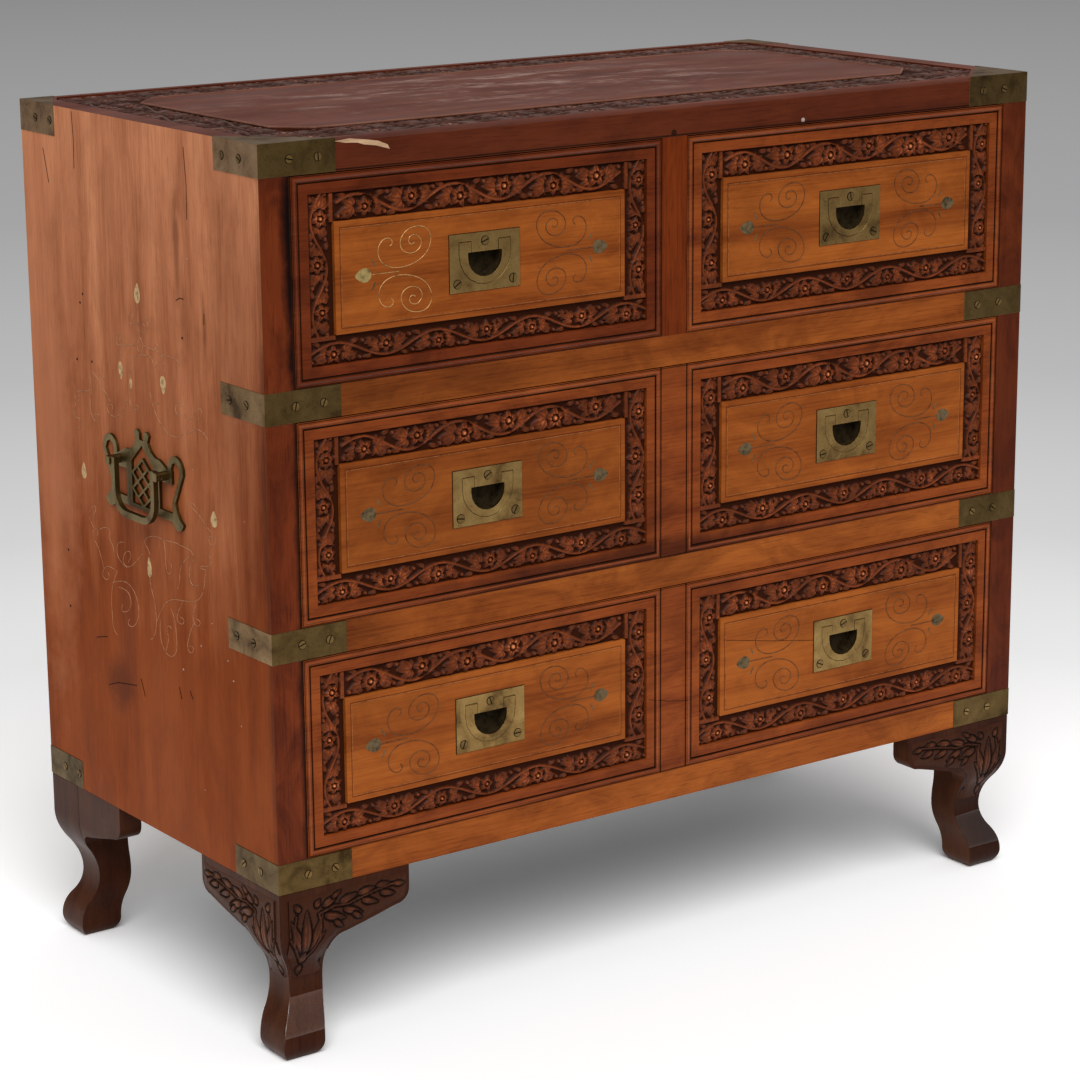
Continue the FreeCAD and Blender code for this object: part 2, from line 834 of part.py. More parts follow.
def side_opening():
    """The opening inside a narrow outer strip: a window, and the eye of the ear round the arm's free end."""
    through = Vector(-handle_plate_thickness, 0, 0)
    eye_z = handle_ear_root_rise + handle_eye_rise
    waist = handle_waist_half_width - handle_strip_width
    corners = [
        on_plate(handle_window_inner, -handle_window_top),
        on_plate(handle_arm_half_width, -handle_window_top),
        on_plate(handle_arm_half_width, eye_z),
        on_plate(handle_half_width - handle_strip_width, eye_z),
        on_plate(waist, -handle_waist_drop),
        on_plate(waist, -handle_window_bottom),
        on_plate(handle_window_inner, -handle_window_bottom),
    ]
    eye = on_plate(handle_half_width - handle_ear_width / 2, eye_z)
    ring = many_sided(eye, through, handle_eye_radius, handle_eye_sides)
    return fused([prism(corners, through), ring])


def across_plate(shape):
    return shape.mirror(Vector(0, middle_y, 0), Vector(0, 1, 0))


def handle_plate(posts):
    right = half_plate_outline()
    outline = Part.Wire(Part.__sortEdges__(right + [across_plate(edge) for edge in right]))
    plate = Part.Face(outline).extrude(Vector(-handle_plate_thickness, 0, 0))
    window = side_opening()
    sawn = plate.cut([middle_opening(), window, across_plate(window)])
    return sawn.cut(posts).removeSplitter()


def chamfered_square(x, y, z, half, chamfer):
    """Points round a square with cut corners, upright across a side of the case."""
    near = half - chamfer
    points = []
    for y_sign, z_sign in ((1, 1), (-1, 1), (-1, -1), (1, -1)):
        beside = Vector(x, y + y_sign * half, z + z_sign * near)
        above = Vector(x, y + y_sign * near, z + z_sign * half)
        points += [beside, above] if y_sign == z_sign else [above, beside]
    return points


def handle_posts():
    """Two posts on square shanks through the plate and the side, each bored for a pin of the bail."""
    face_x = -half_width - handle_plate_thickness
    half = handle_post_half_width
    shank_half = handle_shank_half_width
    stem_reach = Vector(-handle_standoff - handle_eye_wall, 0, 0)
    z_low = handle_height - shank_half
    z_high = handle_height + shank_half
    posts = []
    for side in (-1, 1):
        y = middle_y + side * handle_post_spread
        stem = prism(chamfered_square(face_x, y, handle_height, half, handle_post_chamfer), stem_reach)
        shank = box(face_x, -inner_half, y - shank_half, y + shank_half, z_low, z_high)
        bore_start = Vector(face_x - handle_standoff, y - half, handle_height)
        bore = pin_bore(bore_start, Vector(0, 2 * half, 0), handle_pin_radius)
        posts.append(fused([stem, shank]).cut(bore))
    return posts


def handle_loop(half, top, low, bend):
    """A flat-bottomed loop filled in, from front to back through the bar's depth."""
    x = -half_width - handle_plate_thickness - handle_standoff - handle_bar_depth / 2
    right = [(half, top)]
    for step in range(handle_bend_sides + 1):
        turn = math.pi / 2 * step / handle_bend_sides
        right.append((half - bend + bend * math.cos(turn), low + bend - bend * math.sin(turn)))
    left = [(-y, z) for y, z in reversed(right)]
    points = [Vector(x, middle_y + y, z) for y, z in right + left]
    return prism(points, Vector(handle_bar_depth, 0, 0))


def handle_bail():
    """A bar bent to a flat-bottomed loop, with a pin turned outwards at each end."""
    outer = handle_post_spread - handle_post_half_width - handle_bar_gap
    inner = outer - handle_bar_width
    top = handle_height + handle_bail_rise
    low = handle_height - handle_bail_drop
    outside = handle_loop(outer, top, low, handle_bend_radius)
    inside = handle_loop(inner, top, low + handle_bar_width, handle_bend_radius - handle_bar_width)
    pieces = [outside.cut(inside)]
    x = -half_width - handle_plate_thickness - handle_standoff
    pin_length = handle_post_spread + handle_pin_reach - outer
    for side in (-1, 1):
        start = Vector(x, middle_y + side * outer, handle_height)
        pieces.append(Part.makeCylinder(handle_pin_radius, pin_length, start, Vector(0, side, 0)))
    return fused(pieces)


def build_case(posts):
    top_brackets = four_corners(top_bracket)
    upper_straps = strap_level(top_opening_z - rail_height, rail_height, front_corners)
    lower_straps = strap_level(middle_opening_z - rail_height, rail_height, front_corners)
    bottom_straps = strap_level(leg_height, bottom_thickness, four_corners)
    straps = top_brackets + upper_straps + lower_straps + bottom_straps
    screws = []
    for z in (top_opening_z - rail_height / 2, middle_opening_z - rail_height / 2):
        screws += front_strap_screws(z)
    for z in (under_top_z + top_thickness / 2, leg_height + bottom_thickness / 2):
        screws += front_strap_screws(z) + back_strap_screws(z)
    save("top_corner_brackets", *top_brackets)
    save("rail_straps", *upper_straps, *lower_straps)
    save("bottom_corner_straps", *bottom_straps)
    save("strap_screws", *screws)

    side = left_side(straps, posts)
    stile = left_stile().cut(straps)
    bottom_depth = case_depth - back_thickness
    save("left_side_panel", side)
    save("right_side_panel", mirrored_x(side))
    save("left_front_stile", stile)
    save("right_front_stile", mirrored_x(stile))
    save("top_board", top_board(straps))
    save("bottom_board", cross_board(leg_height, bottom_thickness, bottom_depth, straps))
    save("upper_rail", cross_board(top_opening_z - rail_height, rail_height, rail_depth, straps))
    save("lower_rail", cross_board(middle_opening_z - rail_height, rail_height, rail_depth, straps))
    stile_back = front_y + stile_depth
    save("center_stile", box(-center_half, center_half, front_y, stile_back, top_opening_z, under_top_z))
    save("back_boards", *[board.cut(straps) for board in back_boards()])
    save("drawer_runners", *drawer_runners())
    save("drawer_guides", *drawer_guides())


def build_legs():
    post = front_left_post()
    save("front_left_leg", post)
    save("front_right_leg", mirrored_x(post))
    save("back_left_leg", mirrored_y(post))
    save("back_right_leg", mirrored_x(mirrored_y(post)))
    front_ear = at_front_left(ear())
    side_ear = at_front_left(swapped(ear()))
    back_ear = mirrored_y(side_ear)
    save("front_leg_ears", front_ear, mirrored_x(front_ear), side_ear, mirrored_x(side_ear))
    save("back_leg_ears", back_ear, mirrored_x(back_ear))


def build_handles(posts):
    plate = handle_plate(posts)
    bail = handle_bail()
    save("left_handle_plate", plate)
    save("left_handle_posts", *posts)
    save("left_handle_bail", bail)
    save("right_handle_plate", mirrored_x(plate))
    save("right_handle_posts", *[mirrored_x(post) for post in posts])
    save("right_handle_bail", mirrored_x(bail))


def build_drawers():
    both = [-panel_center, panel_center]
    Drawer(-opening_half, -center_half, top_opening_z, both[:1]).save("top_left_drawer")
    Drawer(center_half, opening_half, top_opening_z, both[1:]).save("top_right_drawer")
    Drawer(-opening_half, opening_half, middle_opening_z, both).save("middle_drawer")
    Drawer(-opening_half, opening_half, bottom_opening_z, both).save("bottom_drawer")


def build():
    os.makedirs("parts", exist_ok=True)
    posts = handle_posts()
    build_case(posts)
    build_legs()
    build_handles(posts)
    build_drawers()


build()
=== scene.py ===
import json
import math
import random

import bmesh
import bpy
import numpy as np
from bmesh.types import BMEdge, BMFace, BMVert
from bpy.props import FloatProperty, FloatVectorProperty, PointerProperty
from mathutils import Matrix, Quaternion, Vector
from mathutils.bvhtree import BVHTree

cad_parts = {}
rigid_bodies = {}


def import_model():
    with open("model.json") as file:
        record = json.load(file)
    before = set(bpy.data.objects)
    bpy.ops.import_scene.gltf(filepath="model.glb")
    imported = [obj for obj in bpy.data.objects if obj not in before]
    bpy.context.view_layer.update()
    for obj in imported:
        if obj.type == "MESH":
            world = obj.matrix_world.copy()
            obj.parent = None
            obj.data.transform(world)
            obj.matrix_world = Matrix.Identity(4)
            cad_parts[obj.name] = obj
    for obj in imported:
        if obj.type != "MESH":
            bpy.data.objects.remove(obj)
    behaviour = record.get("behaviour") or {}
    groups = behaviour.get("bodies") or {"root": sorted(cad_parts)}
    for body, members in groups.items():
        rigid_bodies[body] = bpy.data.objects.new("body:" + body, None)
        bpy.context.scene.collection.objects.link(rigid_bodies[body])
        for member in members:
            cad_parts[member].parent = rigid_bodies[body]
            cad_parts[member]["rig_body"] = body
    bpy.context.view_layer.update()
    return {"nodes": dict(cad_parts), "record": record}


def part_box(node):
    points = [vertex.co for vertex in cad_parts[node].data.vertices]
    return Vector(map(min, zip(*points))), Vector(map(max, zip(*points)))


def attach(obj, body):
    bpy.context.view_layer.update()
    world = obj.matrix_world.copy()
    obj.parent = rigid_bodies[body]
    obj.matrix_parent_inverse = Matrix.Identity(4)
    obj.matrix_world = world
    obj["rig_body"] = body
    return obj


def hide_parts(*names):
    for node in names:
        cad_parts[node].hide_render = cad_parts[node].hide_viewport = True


bl_info = {
    "name": "Campaign chest",
    "version": (1, 0, 0),
    "blender": (4, 5, 0),
    "location": "View3D > Sidebar > Chest",
    "description": "Dresses a brass-bound campaign chest with wood, carving, wire inlay and brass",
    "category": "Object",
}

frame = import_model()
nodes = frame["nodes"]
slot_of = {row["node"]: row["material_slot"] for row in frame["record"]["subparts"]}

MM = 0.001
WELD = 1e-5
FLAT = math.radians(0.5)
CORNER = math.radians(35)
SMOOTH = math.radians(38)
CARVED_SMOOTH = math.radians(70)

case_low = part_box("left_side_panel")[0]
case_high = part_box("right_side_panel")[1]
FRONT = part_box("bottom_board")[0].y
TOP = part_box("top_board")[1].z
SIDE = case_high.x
MIDDLE = (case_low.y + case_high.y) / 2
LEG_TOP = case_low.z

DRAWERS = {
    "top_left_drawer": [""],
    "top_right_drawer": [""],
    "middle_drawer": ["_left", "_right"],
    "bottom_drawer": ["_left", "_right"],
}


def colour_setting(label, text, value):
    return FloatVectorProperty(
        name=label, description=text, subtype="COLOR", size=3, min=0.0, max=1.0, default=value
    )


def length_setting(label, text, value):
    return FloatProperty(name=label, description=text, default=value, min=0.0, unit="LENGTH")


class ChestWoods(bpy.types.PropertyGroup):
    """Colours of the woods."""

    side_low: colour_setting("Side, low", "Colour of the sides near the legs", (0.262, 0.052, 0.006))
    side_high: colour_setting("Side, high", "Paler colour of the sides near the top", (0.672, 0.260, 0.124))
    field: colour_setting("Drawer field", "Golden wood inside the carved borders", (0.298, 0.074, 0.011))
    border: colour_setting("Drawer border", "Redder wood round the carved borders", (0.132, 0.022, 0.004))
    worn_border: colour_setting("Worn borders", "Paler borders of the other drawers", (0.225, 0.046, 0.008))
    rail: colour_setting("Rails", "Wood of the rails between the drawers", (0.280, 0.068, 0.0105))
    stile: colour_setting("Stiles", "Dark wood of the front stiles", (0.106, 0.016, 0.003))
    post: colour_setting("Center stile", "Wood of the stile between the top drawers", (0.172, 0.029, 0.004))
    top: colour_setting("Top", "Dark wood of the top", (0.142, 0.031, 0.013))
    edge: colour_setting("Top edge", "Red wood on the edges of the top", (0.100, 0.018, 0.005))
    leg: colour_setting("Legs", "Dark wood of the legs", (0.060, 0.018, 0.007))
    inside: colour_setting("Inside", "Plain wood of the drawer boxes and the back", (0.330, 0.180, 0.080))
    # The underside is set dark and neutral so that the light it bounces keeps the floor's shadow under the
    # chest dark and grey: painted shade by bounce.
    raw: colour_setting("Underside", "Dusty unfinished wood under the case", (0.105, 0.108, 0.110))
    pale: colour_setting("Bare wood", "Bare wood of a splintered edge", (0.640, 0.420, 0.250))


class ChestCarving(bpy.types.PropertyGroup):
    """Sizes and colours of the carving."""

    margin: length_setting("Margin", "From a drawer panel's edge to its carving", 17 * MM)
    width: length_setting("Width", "Width of the carved border", 26 * MM)
    depth: length_setting("Depth", "Depth of the ground under a drawer's face", 3.7 * MM)
    cell: length_setting("Bend", "Length of one bend of the vine", 56 * MM)
    step: length_setting("Step", "Spacing of the carved grid on the drawers", 0.85 * MM)
    top_step: length_setting("Top step", "Spacing of the carved grid on the top", 1.4 * MM)
    # The ground is dark as stain and painted shade; the crests are pale as wear and painted highlights.
    ground: colour_setting("Ground", "Dark sunk ground", (0.034, 0.008, 0.003))
    body: colour_setting("Leaves", "Red-brown leaves and stems", (0.126, 0.027, 0.007))
    crest: colour_setting("Crests", "Worn high points", (0.640, 0.230, 0.085))
    # Top leaves and crests are greyed as painted sheen.
    top_body: colour_setting("Top leaves", "Leaves and stems on the top", (0.085, 0.030, 0.019))
    top_crest: colour_setting("Top crests", "High points on the top", (0.360, 0.200, 0.140))


class ChestInlay(bpy.types.PropertyGroup):
    """Sizes and colours of the wire inlay."""

    wire: length_setting("Wire", "Width of the inlaid wire", 0.8 * MM)
    line_inset: length_setting("Line inset", "From the field's edge to its string line", 6.5 * MM)
    bright: colour_setting("Bright wire", "Wire that is still bright", (0.600, 0.330, 0.120))
    dull: colour_setting("Dull wire", "Wire dulled by age", (0.140, 0.060, 0.024))
    string: colour_setting("String", "Thin line round each field", (0.370, 0.150, 0.052))
    tip: colour_setting("Tips", "Flat tips let into the wood", (0.420, 0.300, 0.110))
    dull_tip: colour_setting("Dull tips", "Tips gone grey", (0.128, 0.088, 0.044))
    faint: colour_setting("Side wire", "Thin wire in the sides", (0.430, 0.215, 0.115))
    drop: colour_setting("Drops", "Pale drops in the sides", (0.600, 0.390, 0.190))


class ChestBrass(bpy.types.PropertyGroup):
    """Colours and edges of the brass."""

    bright: colour_setting("Worn", "Brass on worn places", (0.460, 0.295, 0.105))
    dull: colour_setting("Aged", "Brass over most of its face", (0.320, 0.195, 0.066))
    dark: colour_setting("Tarnish", "Brass in hollows", (0.125, 0.070, 0.025))
    # Dirt and painted shade: this colour darkens cracks, nail holes, screw slots and rims, and the lines
    # round the pull plates.
    hollow: colour_setting("Hollow", "Dirt in gaps and slots", (0.008, 0.005, 0.003))
    # The cup colour is brown brass darkened as painted shade in the cups.
    cup: colour_setting("Cup", "Brown brass inside the cups", (0.026, 0.017, 0.007))
    edge: length_setting("Edge", "Rounding of the straps and plates", 0.45 * MM)
    slot: length_setting("Slot", "Width of a screw's slot", 1.2 * MM)


class ChestStage(bpy.types.PropertyGroup):
    """The floor, the light and the camera."""

    floor: colour_setting("Floor", "Floor near the chest", (0.960, 0.960, 0.960))
    far_floor: colour_setting("Far floor", "Floor far behind the chest", (0.225, 0.225, 0.225))
    lift: FloatProperty(name="Lift", description="Raises the floor to white when seen", default=1.2, min=0.0)
    sky: FloatProperty(name="Sky", description="Even light from all round", default=0.42, min=0.0)
    backdrop: FloatProperty(name="Backdrop", description="Grey seen behind the floor", default=0.275, min=0.0)
    sun: FloatProperty(name="Key", description="Strength of the soft key light", default=2.4, min=0.0)
    eye: FloatVectorProperty(
        name="Eye", description="Place of the camera", subtype="XYZ", unit="LENGTH", size=3,
        default=(-1.8324, -2.5538, 1.1898),
    )
    gaze: FloatVectorProperty(
        name="Gaze", description="Direction of the camera", subtype="DIRECTION", size=3,
        default=(0.564532, 0.786901, -0.249181),
    )
    roll: FloatProperty(name="Roll", description="Turn about the gaze", subtype="ANGLE", default=-0.0079)
    lens: FloatProperty(name="Lens", description="Focal length in millimetres", default=106.33, min=1.0)


# Finishes

WHITE = (1.0, 1.0, 1.0, 1.0)
BLOTCH = (0.62, 0.52, 0.48, 1.0)
PORE = (0.45, 0.36, 0.32, 1.0)
GRIME = (0.34, 0.26, 0.22, 1.0)
STAIN_AND_SHADE = (0.22, 0.16, 0.15, 1.0)
SCUFF = (0.58, 0.40, 0.33, 1.0)
PIT = (0.45, 0.42, 0.38, 1.0)
SCUFFED = ((-0.02, 0.02, TOP), (0.36, 0.17, 0.1))
ACROSS = {"X": "Z", "Y": "X", "Z": "Y"}


def rgba(colour, factor=1.0):
    return (colour[0] * factor, colour[1] * factor, colour[2] * factor, 1.0)


class Nodes:
    """A node tree, with short calls for the nodes that the finishes and the light share."""

    def __init__(self, tree):
        self.tree = tree

    def feed(self, socket, value):
        if isinstance(value, bpy.types.NodeSocket):
            self.tree.links.new(value, socket)
        else:
            socket.default_value = value

    def node(self, kind, inputs, **settings):
        made = self.tree.nodes.new(kind)
        for key, value in settings.items():
            setattr(made, key, value)
        for key, value in inputs.items():
            self.feed(made.inputs[key], value)
        return made

    def sum(self, first, second, operation="ADD"):
        return self.node("ShaderNodeMath", {0: first, 1: second}, operation=operation).outputs[0]

    def times(self, first, second):
        return self.sum(first, second, "MULTIPLY")

    def span(self, value, low, high, to_low=0.0, to_high=1.0):
        ends = {"From Min": low, "From Max": high, "To Min": to_low, "To Max": to_high}
        return self.node("ShaderNodeMapRange", {"Value": value, **ends}).outputs[0]

    def seen(self):
        """1 for rays that show a surface, straight, in gloss or in glass, and 0 for those of its light."""
        ray = self.node("ShaderNodeLightPath", {}).outputs
        shown = self.sum(ray["Is Camera Ray"], ray["Is Glossy Ray"], "MAXIMUM")
        return self.sum(shown, ray["Is Transmission Ray"], "MAXIMUM")


class Finish(Nodes):
    """A material being mixed from patterns in the chest's own frame."""

    def __init__(self, name):
        self.material = bpy.data.materials.new(name)
        self.material.use_nodes = True
        super().__init__(self.material.node_tree)
        self.shader = self.tree.nodes["Principled BSDF"]
        self.place = self.node("ShaderNodeTexCoord", {}).outputs["Object"]

    def set(self, **values):
        for key, value in values.items():
            self.feed(self.shader.inputs[key.replace("_", " ")], value)

    def stretch(self, scale, shift):
        inputs = {"Vector": self.place, "Scale": scale, "Location": shift}
        return self.node("ShaderNodeMapping", inputs).outputs["Vector"]

    def noise(self, vector, scale, detail, rough, distortion=0.0):
        inputs = {"Vector": vector, "Scale": scale, "Detail": detail, "Roughness": rough}
        return self.node("ShaderNodeTexNoise", {**inputs, "Distortion": distortion}).outputs[0]

    def wave(self, vector, direction, scale, distortion, detail):
        inputs = {"Vector": vector, "Scale": scale, "Distortion": distortion, "Detail": detail}
        made = self.node("ShaderNodeTexWave", inputs, wave_type="BANDS", bands_direction=direction)
        return made.outputs["Fac"]

    def ramp(self, value, *stops):
        made = self.node("ShaderNodeValToRGB", {"Fac": value})
        points = made.color_ramp.elements
        for _ in stops[2:]:
            points.new(0.5)
        for point, (at, colour) in zip(points, stops):
            point.position = at
            point.color = colour
        return made.outputs["Color"]

    def mix(self, factor, first, second, blend="MIX"):
        inputs = {0: factor, 6: first, 7: second}
        return self.node("ShaderNodeMix", inputs, data_type="RGBA", blend_type=blend).outputs[2]

    def darken(self, shade, amount, mask, low, high, dark):
        """Darkens a shade where a mask is low."""
        return self.mix(amount, shade, self.ramp(mask, (low, dark), (high, WHITE)), "MULTIPLY")

    def spot(self, center, reach):
        """A ragged patch round a place: 1 in its middle and 0 beyond its reach."""
        inputs = {"Vector": self.place, "Location": center, "Scale": reach}
        mapping = self.node("ShaderNodeMapping", inputs, vector_type="TEXTURE")
        ragged = self.times(self.sum(self.noise(self.place, 26.0, 5.0, 0.65), -0.5), 1.1)
        return self.span(self.sum(self.length(mapping.outputs["Vector"]), ragged), 1.0, 0.35)

    def length(self, vector):
        return self.node("ShaderNodeVectorMath", {0: vector}, operation="LENGTH").outputs["Value"]

    def height(self):
        return self.node("ShaderNodeSeparateXYZ", {0: self.place}).outputs["Z"]

    def bump(self, height, strength, distance):
        inputs = {"Strength": strength, "Distance": distance, "Height": height}
        self.set(Normal=self.node("ShaderNodeBump", inputs).outputs["Normal"])


def along_grain(grain, along, across):
    """Scales that draw a pattern out along the grain."""
    return tuple(along if axis == grain else across for axis in "XYZ")


def redder(colour, factor):
    """A shade of a wood: darker ones turn red and paler ones turn golden."""
    return (colour[0] * factor, colour[1] * factor ** 1.35, colour[2] * factor ** 1.45, 1.0)


def wood(name, colour, grain, rough=0.45, contrast=1.0, high_colour=None, levels=None, gloss=0.08, figure=0.1,
         scuffs=0.0, stains=(), shines=(), width=1.0, grime=0.3, pore=0.5, shift=(0.0, 0.0, 0.0)):
    """Teak with streaks, waving figure, pores and blotches along the grain, stains and painted shade, a
    painted sheen and scuffs.
    """
    mixed = Finish(name)

    def grained(along, across, *pattern):
        return mixed.noise(mixed.stretch(along_grain(grain, along, across), shift), *pattern)

    streaks = grained(1.4, 22.0 / width, 2.2, 8.0, 0.64, 0.35)
    fine = grained(5.0, 230.0, 2.0, 4.0, 0.6)
    waves = mixed.wave(mixed.stretch(along_grain(grain, 0.5, 7.0), shift), ACROSS[grain], 1.0, 12.0, 3.0)
    tone = mixed.sum(mixed.times(streaks, 0.68 - figure), mixed.times(fine, 0.32))
    tone = mixed.sum(tone, mixed.times(waves, figure))

    def shades(base):
        dark, pale = 1.0 - 0.42 * contrast, 1.0 + 0.36 * contrast
        return mixed.ramp(
            tone, (0.30, redder(base, dark)), (0.46, rgba(base)), (0.56, redder(base, (1 + pale) / 2)),
            (0.70, redder(base, pale))
        )

    shade = shades(colour)
    if high_colour is not None:
        wander = mixed.times(mixed.sum(streaks, -0.5), 0.45)
        level = mixed.span(mixed.sum(mixed.height(), wander), *levels)
        shade = mixed.mix(level, shade, shades(high_colour))
    blotches = grained(2.4, 6.0, 2.0, 5.0, 0.6)
    shade = mixed.darken(shade, 0.6 * contrast, blotches, 0.28, 0.50, BLOTCH)
    pores = grained(34.0, 900.0, 1.0, 2.0, 0.5)
    shade = mixed.darken(shade, pore, pores, 0.34, 0.43, PORE)
    handled = grained(9.0, 16.0, 1.3, 7.0, 0.68, 0.8)
    shade = mixed.darken(shade, grime, handled, 0.36, 0.56, GRIME)
    # Darker patches: real stains, and painted shade by the left stile's gap and over the front right leg.
    for center, reach, strength in stains:
        shade = mixed.mix(mixed.times(mixed.spot(center, reach), strength), shade, STAIN_AND_SHADE, "MULTIPLY")
    for center, reach, strength, pale in shines:
        shade = mixed.mix(mixed.times(mixed.spot(center, reach), strength), shade, rgba(pale))
    if scuffs:
        marks = grained(5.0, 15.0, 2.6, 9.0, 0.74, 0.3)
        rubbed = mixed.times(mixed.span(marks, 0.50, 0.72), mixed.spot(*SCUFFED))
        shade = mixed.mix(mixed.times(rubbed, scuffs), shade, SCUFF)
    mixed.set(Base_Color=shade, Roughness=mixed.span(blotches, 0.3, 0.7, rough + 0.08, rough - 0.07))
    mixed.set(Specular_IOR_Level=gloss)
    mixed.bump(mixed.sum(mixed.times(fine, 0.6), pores), 0.2, 0.0005)
    return mixed.material


def carved_wood(name, ground, body, crest, gloss):
    """Carving coloured from each point's relief: dark in the ground, as stain and painted shade, and pale on
    the crests, as wear and painted highlights.
    """
    mixed = Finish(name)
    relief = mixed.node("ShaderNodeAttribute", {}, attribute_name="relief").outputs["Fac"]
    grime = mixed.noise(mixed.place, 310.0, 4.0, 0.6)
    patches = mixed.noise(mixed.place, 34.0, 3.0, 0.5)
    level = mixed.sum(relief, mixed.times(mixed.sum(grime, -0.5), 0.34))
    level = mixed.sum(level, mixed.times(mixed.sum(patches, -0.5), 0.42))
    shade = mixed.ramp(
        level, (0.12, rgba(ground)), (0.45, rgba(body, 0.55)), (0.72, rgba(body)), (0.88, rgba(body, 2.0)),
        (1.0, rgba(crest))
    )
    mixed.set(Base_Color=shade, Roughness=mixed.span(level, 0.1, 1.0, 0.55, 0.27), Specular_IOR_Level=gloss)
    mixed.bump(grime, 0.25, 0.0006)
    return mixed.material


def aged_brass(name, settings, factor=1.0, rough=0.40, tint=(1.0, 1.0, 1.0)):
    """Brass with clouds of tarnish, fine pitting and worn places."""
    mixed = Finish(name)
    clouds = mixed.noise(mixed.place, 34.0, 6.0, 0.62, 0.4)
    pits = mixed.noise(mixed.place, 520.0, 3.0, 0.6)
    shade = mixed.ramp(
        clouds, (0.30, rgba(settings.dark, factor)), (0.47, rgba(settings.dull, factor)),
        (0.68, rgba(settings.bright, factor))
    )
    shade = mixed.darken(shade, 0.7, pits, 0.30, 0.42, PIT)
    shade = mixed.mix(1.0, shade, rgba(tint), "MULTIPLY")
    mixed.set(Base_Color=shade, Metallic=1.0)
    mixed.set(Roughness=mixed.span(clouds, 0.3, 0.7, rough + 0.12, rough - 0.10))
    mixed.bump(pits, 0.12, 0.0003)
    return mixed.material


def one_colour(name, colour, rough, metallic):
    """Wire, tips, dirt and painted shade, and specks: one colour with a little grime."""
    mixed = Finish(name)
    grime = mixed.noise(mixed.place, 180.0, 4.0, 0.6)
    shade = mixed.ramp(grime, (0.32, rgba(colour, 0.35)), (0.52, rgba(colour)), (0.7, rgba(colour, 1.25)))
    mixed.set(Base_Color=shade, Metallic=metallic, Roughness=rough, Specular_IOR_Level=0.06 + 0.4 * metallic)
    return mixed.material


finishes = {}


def finish(name, make, *values, **settings):
    """Makes each finish once, when it is first asked for."""
    if name not in finishes:
        finishes[name] = make(name, *values, **settings)
    return finishes[name]


def woods():
    return bpy.context.scene.chest_woods


PATCH_DEPTH = 0.05


def front_stains(*rows):
    """Stains and painted shade on the front: middle, half width, half height and strength of each."""
    return [((x, FRONT, z), (wide, PATCH_DEPTH, high), strength) for x, z, wide, high, strength in rows]


def side_stains(*rows):
    """The same on the left side."""
    return [((-SIDE, y, z), (PATCH_DEPTH, wide, high), strength) for y, z, wide, high, strength in rows]


def side_wood():
    stains = side_stains(
        (0.065, 0.299, 0.030, 0.038, 0.55), (-0.073, 0.735, 0.007, 0.06, 0.5),
        (-0.119, 0.672, 0.005, 0.03, 0.45), (FRONT, 0.50, 0.010, 0.5, 0.55), (-0.18, 0.65, 0.06, 0.3, 0.16)
    )
    back_sheen = ((-SIDE, 0.19, 0.58), (0.05, 0.07, 0.36), 0.4, (0.66, 0.25, 0.12))
    # The side is paler towards the top, partly as painted light from above and partly as dust; back_sheen is
    # a painted sheen.
    return finish(
        "side wood", wood, woods().side_low, "Z", rough=0.46, contrast=0.72, high_colour=woods().side_high,
        levels=(0.38, 0.90), gloss=0.05, figure=0.04, width=1.9, grime=0.22, pore=0.35, stains=stains,
        shines=[back_sheen]
    )


def field_wood():
    return finish(
        "drawer field wood", wood, woods().field, "X", rough=0.42, contrast=1.05, figure=0.11, grime=0.4,
        pore=0.25, stains=front_stains((-0.217, 0.50, 0.24, 0.09, 0.35))
    )


def border_colour(drawer):
    return woods().border if drawer == "top_left_drawer" else woods().worn_border


def border_wood(drawer):
    return finish(
        drawer + " border wood", wood, border_colour(drawer), "X", contrast=1.1, gloss=0.1, grime=0.6,
        stains=front_stains((-0.05, 0.418, 0.26, 0.016, 0.8))
    )


def rail_wood():
    stains = front_stains(
        (-0.25, 0.6115, 0.30, 0.05, 0.36), (-0.36, 0.6115, 0.08, 0.03, 0.3),
        (-0.38, 0.3955, 0.08, 0.03, 0.4), (0.0, 0.3955, 0.06, 0.03, 0.35)
    )
    return finish(
        "rail wood", wood, woods().rail, "X", contrast=1.1, figure=0.14, grime=0.5, shift=(3.1, 0.0, 1.7),
        stains=stains
    )


def stile_wood():
    # The three patches on the left stile's inner edge are painted shade from the gap beside the drawers.
    stains = front_stains(
        (-0.4185, 0.73, 0.013, 0.11, 1.0), (-0.4185, 0.74, 0.012, 0.12, 1.0),
        (-0.4175, 0.5, 0.007, 0.7, 1.0), (0.434, 0.5, 0.04, 0.5, 0.5)
    )
    colour = redder(woods().stile, 1.35)
    return finish("stile wood", wood, colour, "Z", rough=0.34, gloss=0.1, grime=0.7, stains=stains)


def top_wood():
    return finish("top wood", wood, woods().top, "X", rough=0.38, contrast=0.9, gloss=0.07, scuffs=0.7)


def edge_wood():
    return finish("top edge wood", wood, woods().edge, "X", rough=0.36, contrast=0.8, gloss=0.12)


def worn_edge():
    return finish("worn edge", wood, woods().edge, "X", rough=0.28, contrast=0.8, gloss=0.6, scuffs=0.6)


# Painted shade over the front right leg.
RIGHT_LEG_SHADE = ((0.42, FRONT, 0.07), (0.12, 0.14, 0.14))


def leg_wood():
    colour = redder(woods().leg, 1.12)
    return finish("leg wood", wood, colour, "Z", rough=0.30, contrast=0.8, gloss=0.06, grime=0.4)


# The legs' front faces are a darker copy of the leg wood: painted shade.
def leg_front_shaded_wood():
    colour = redder(woods().leg, 0.75)
    stains = [(*RIGHT_LEG_SHADE, 0.6)]
    return finish("leg front wood", wood, colour, "Z", rough=0.30, contrast=0.8, gloss=0.06, stains=stains)


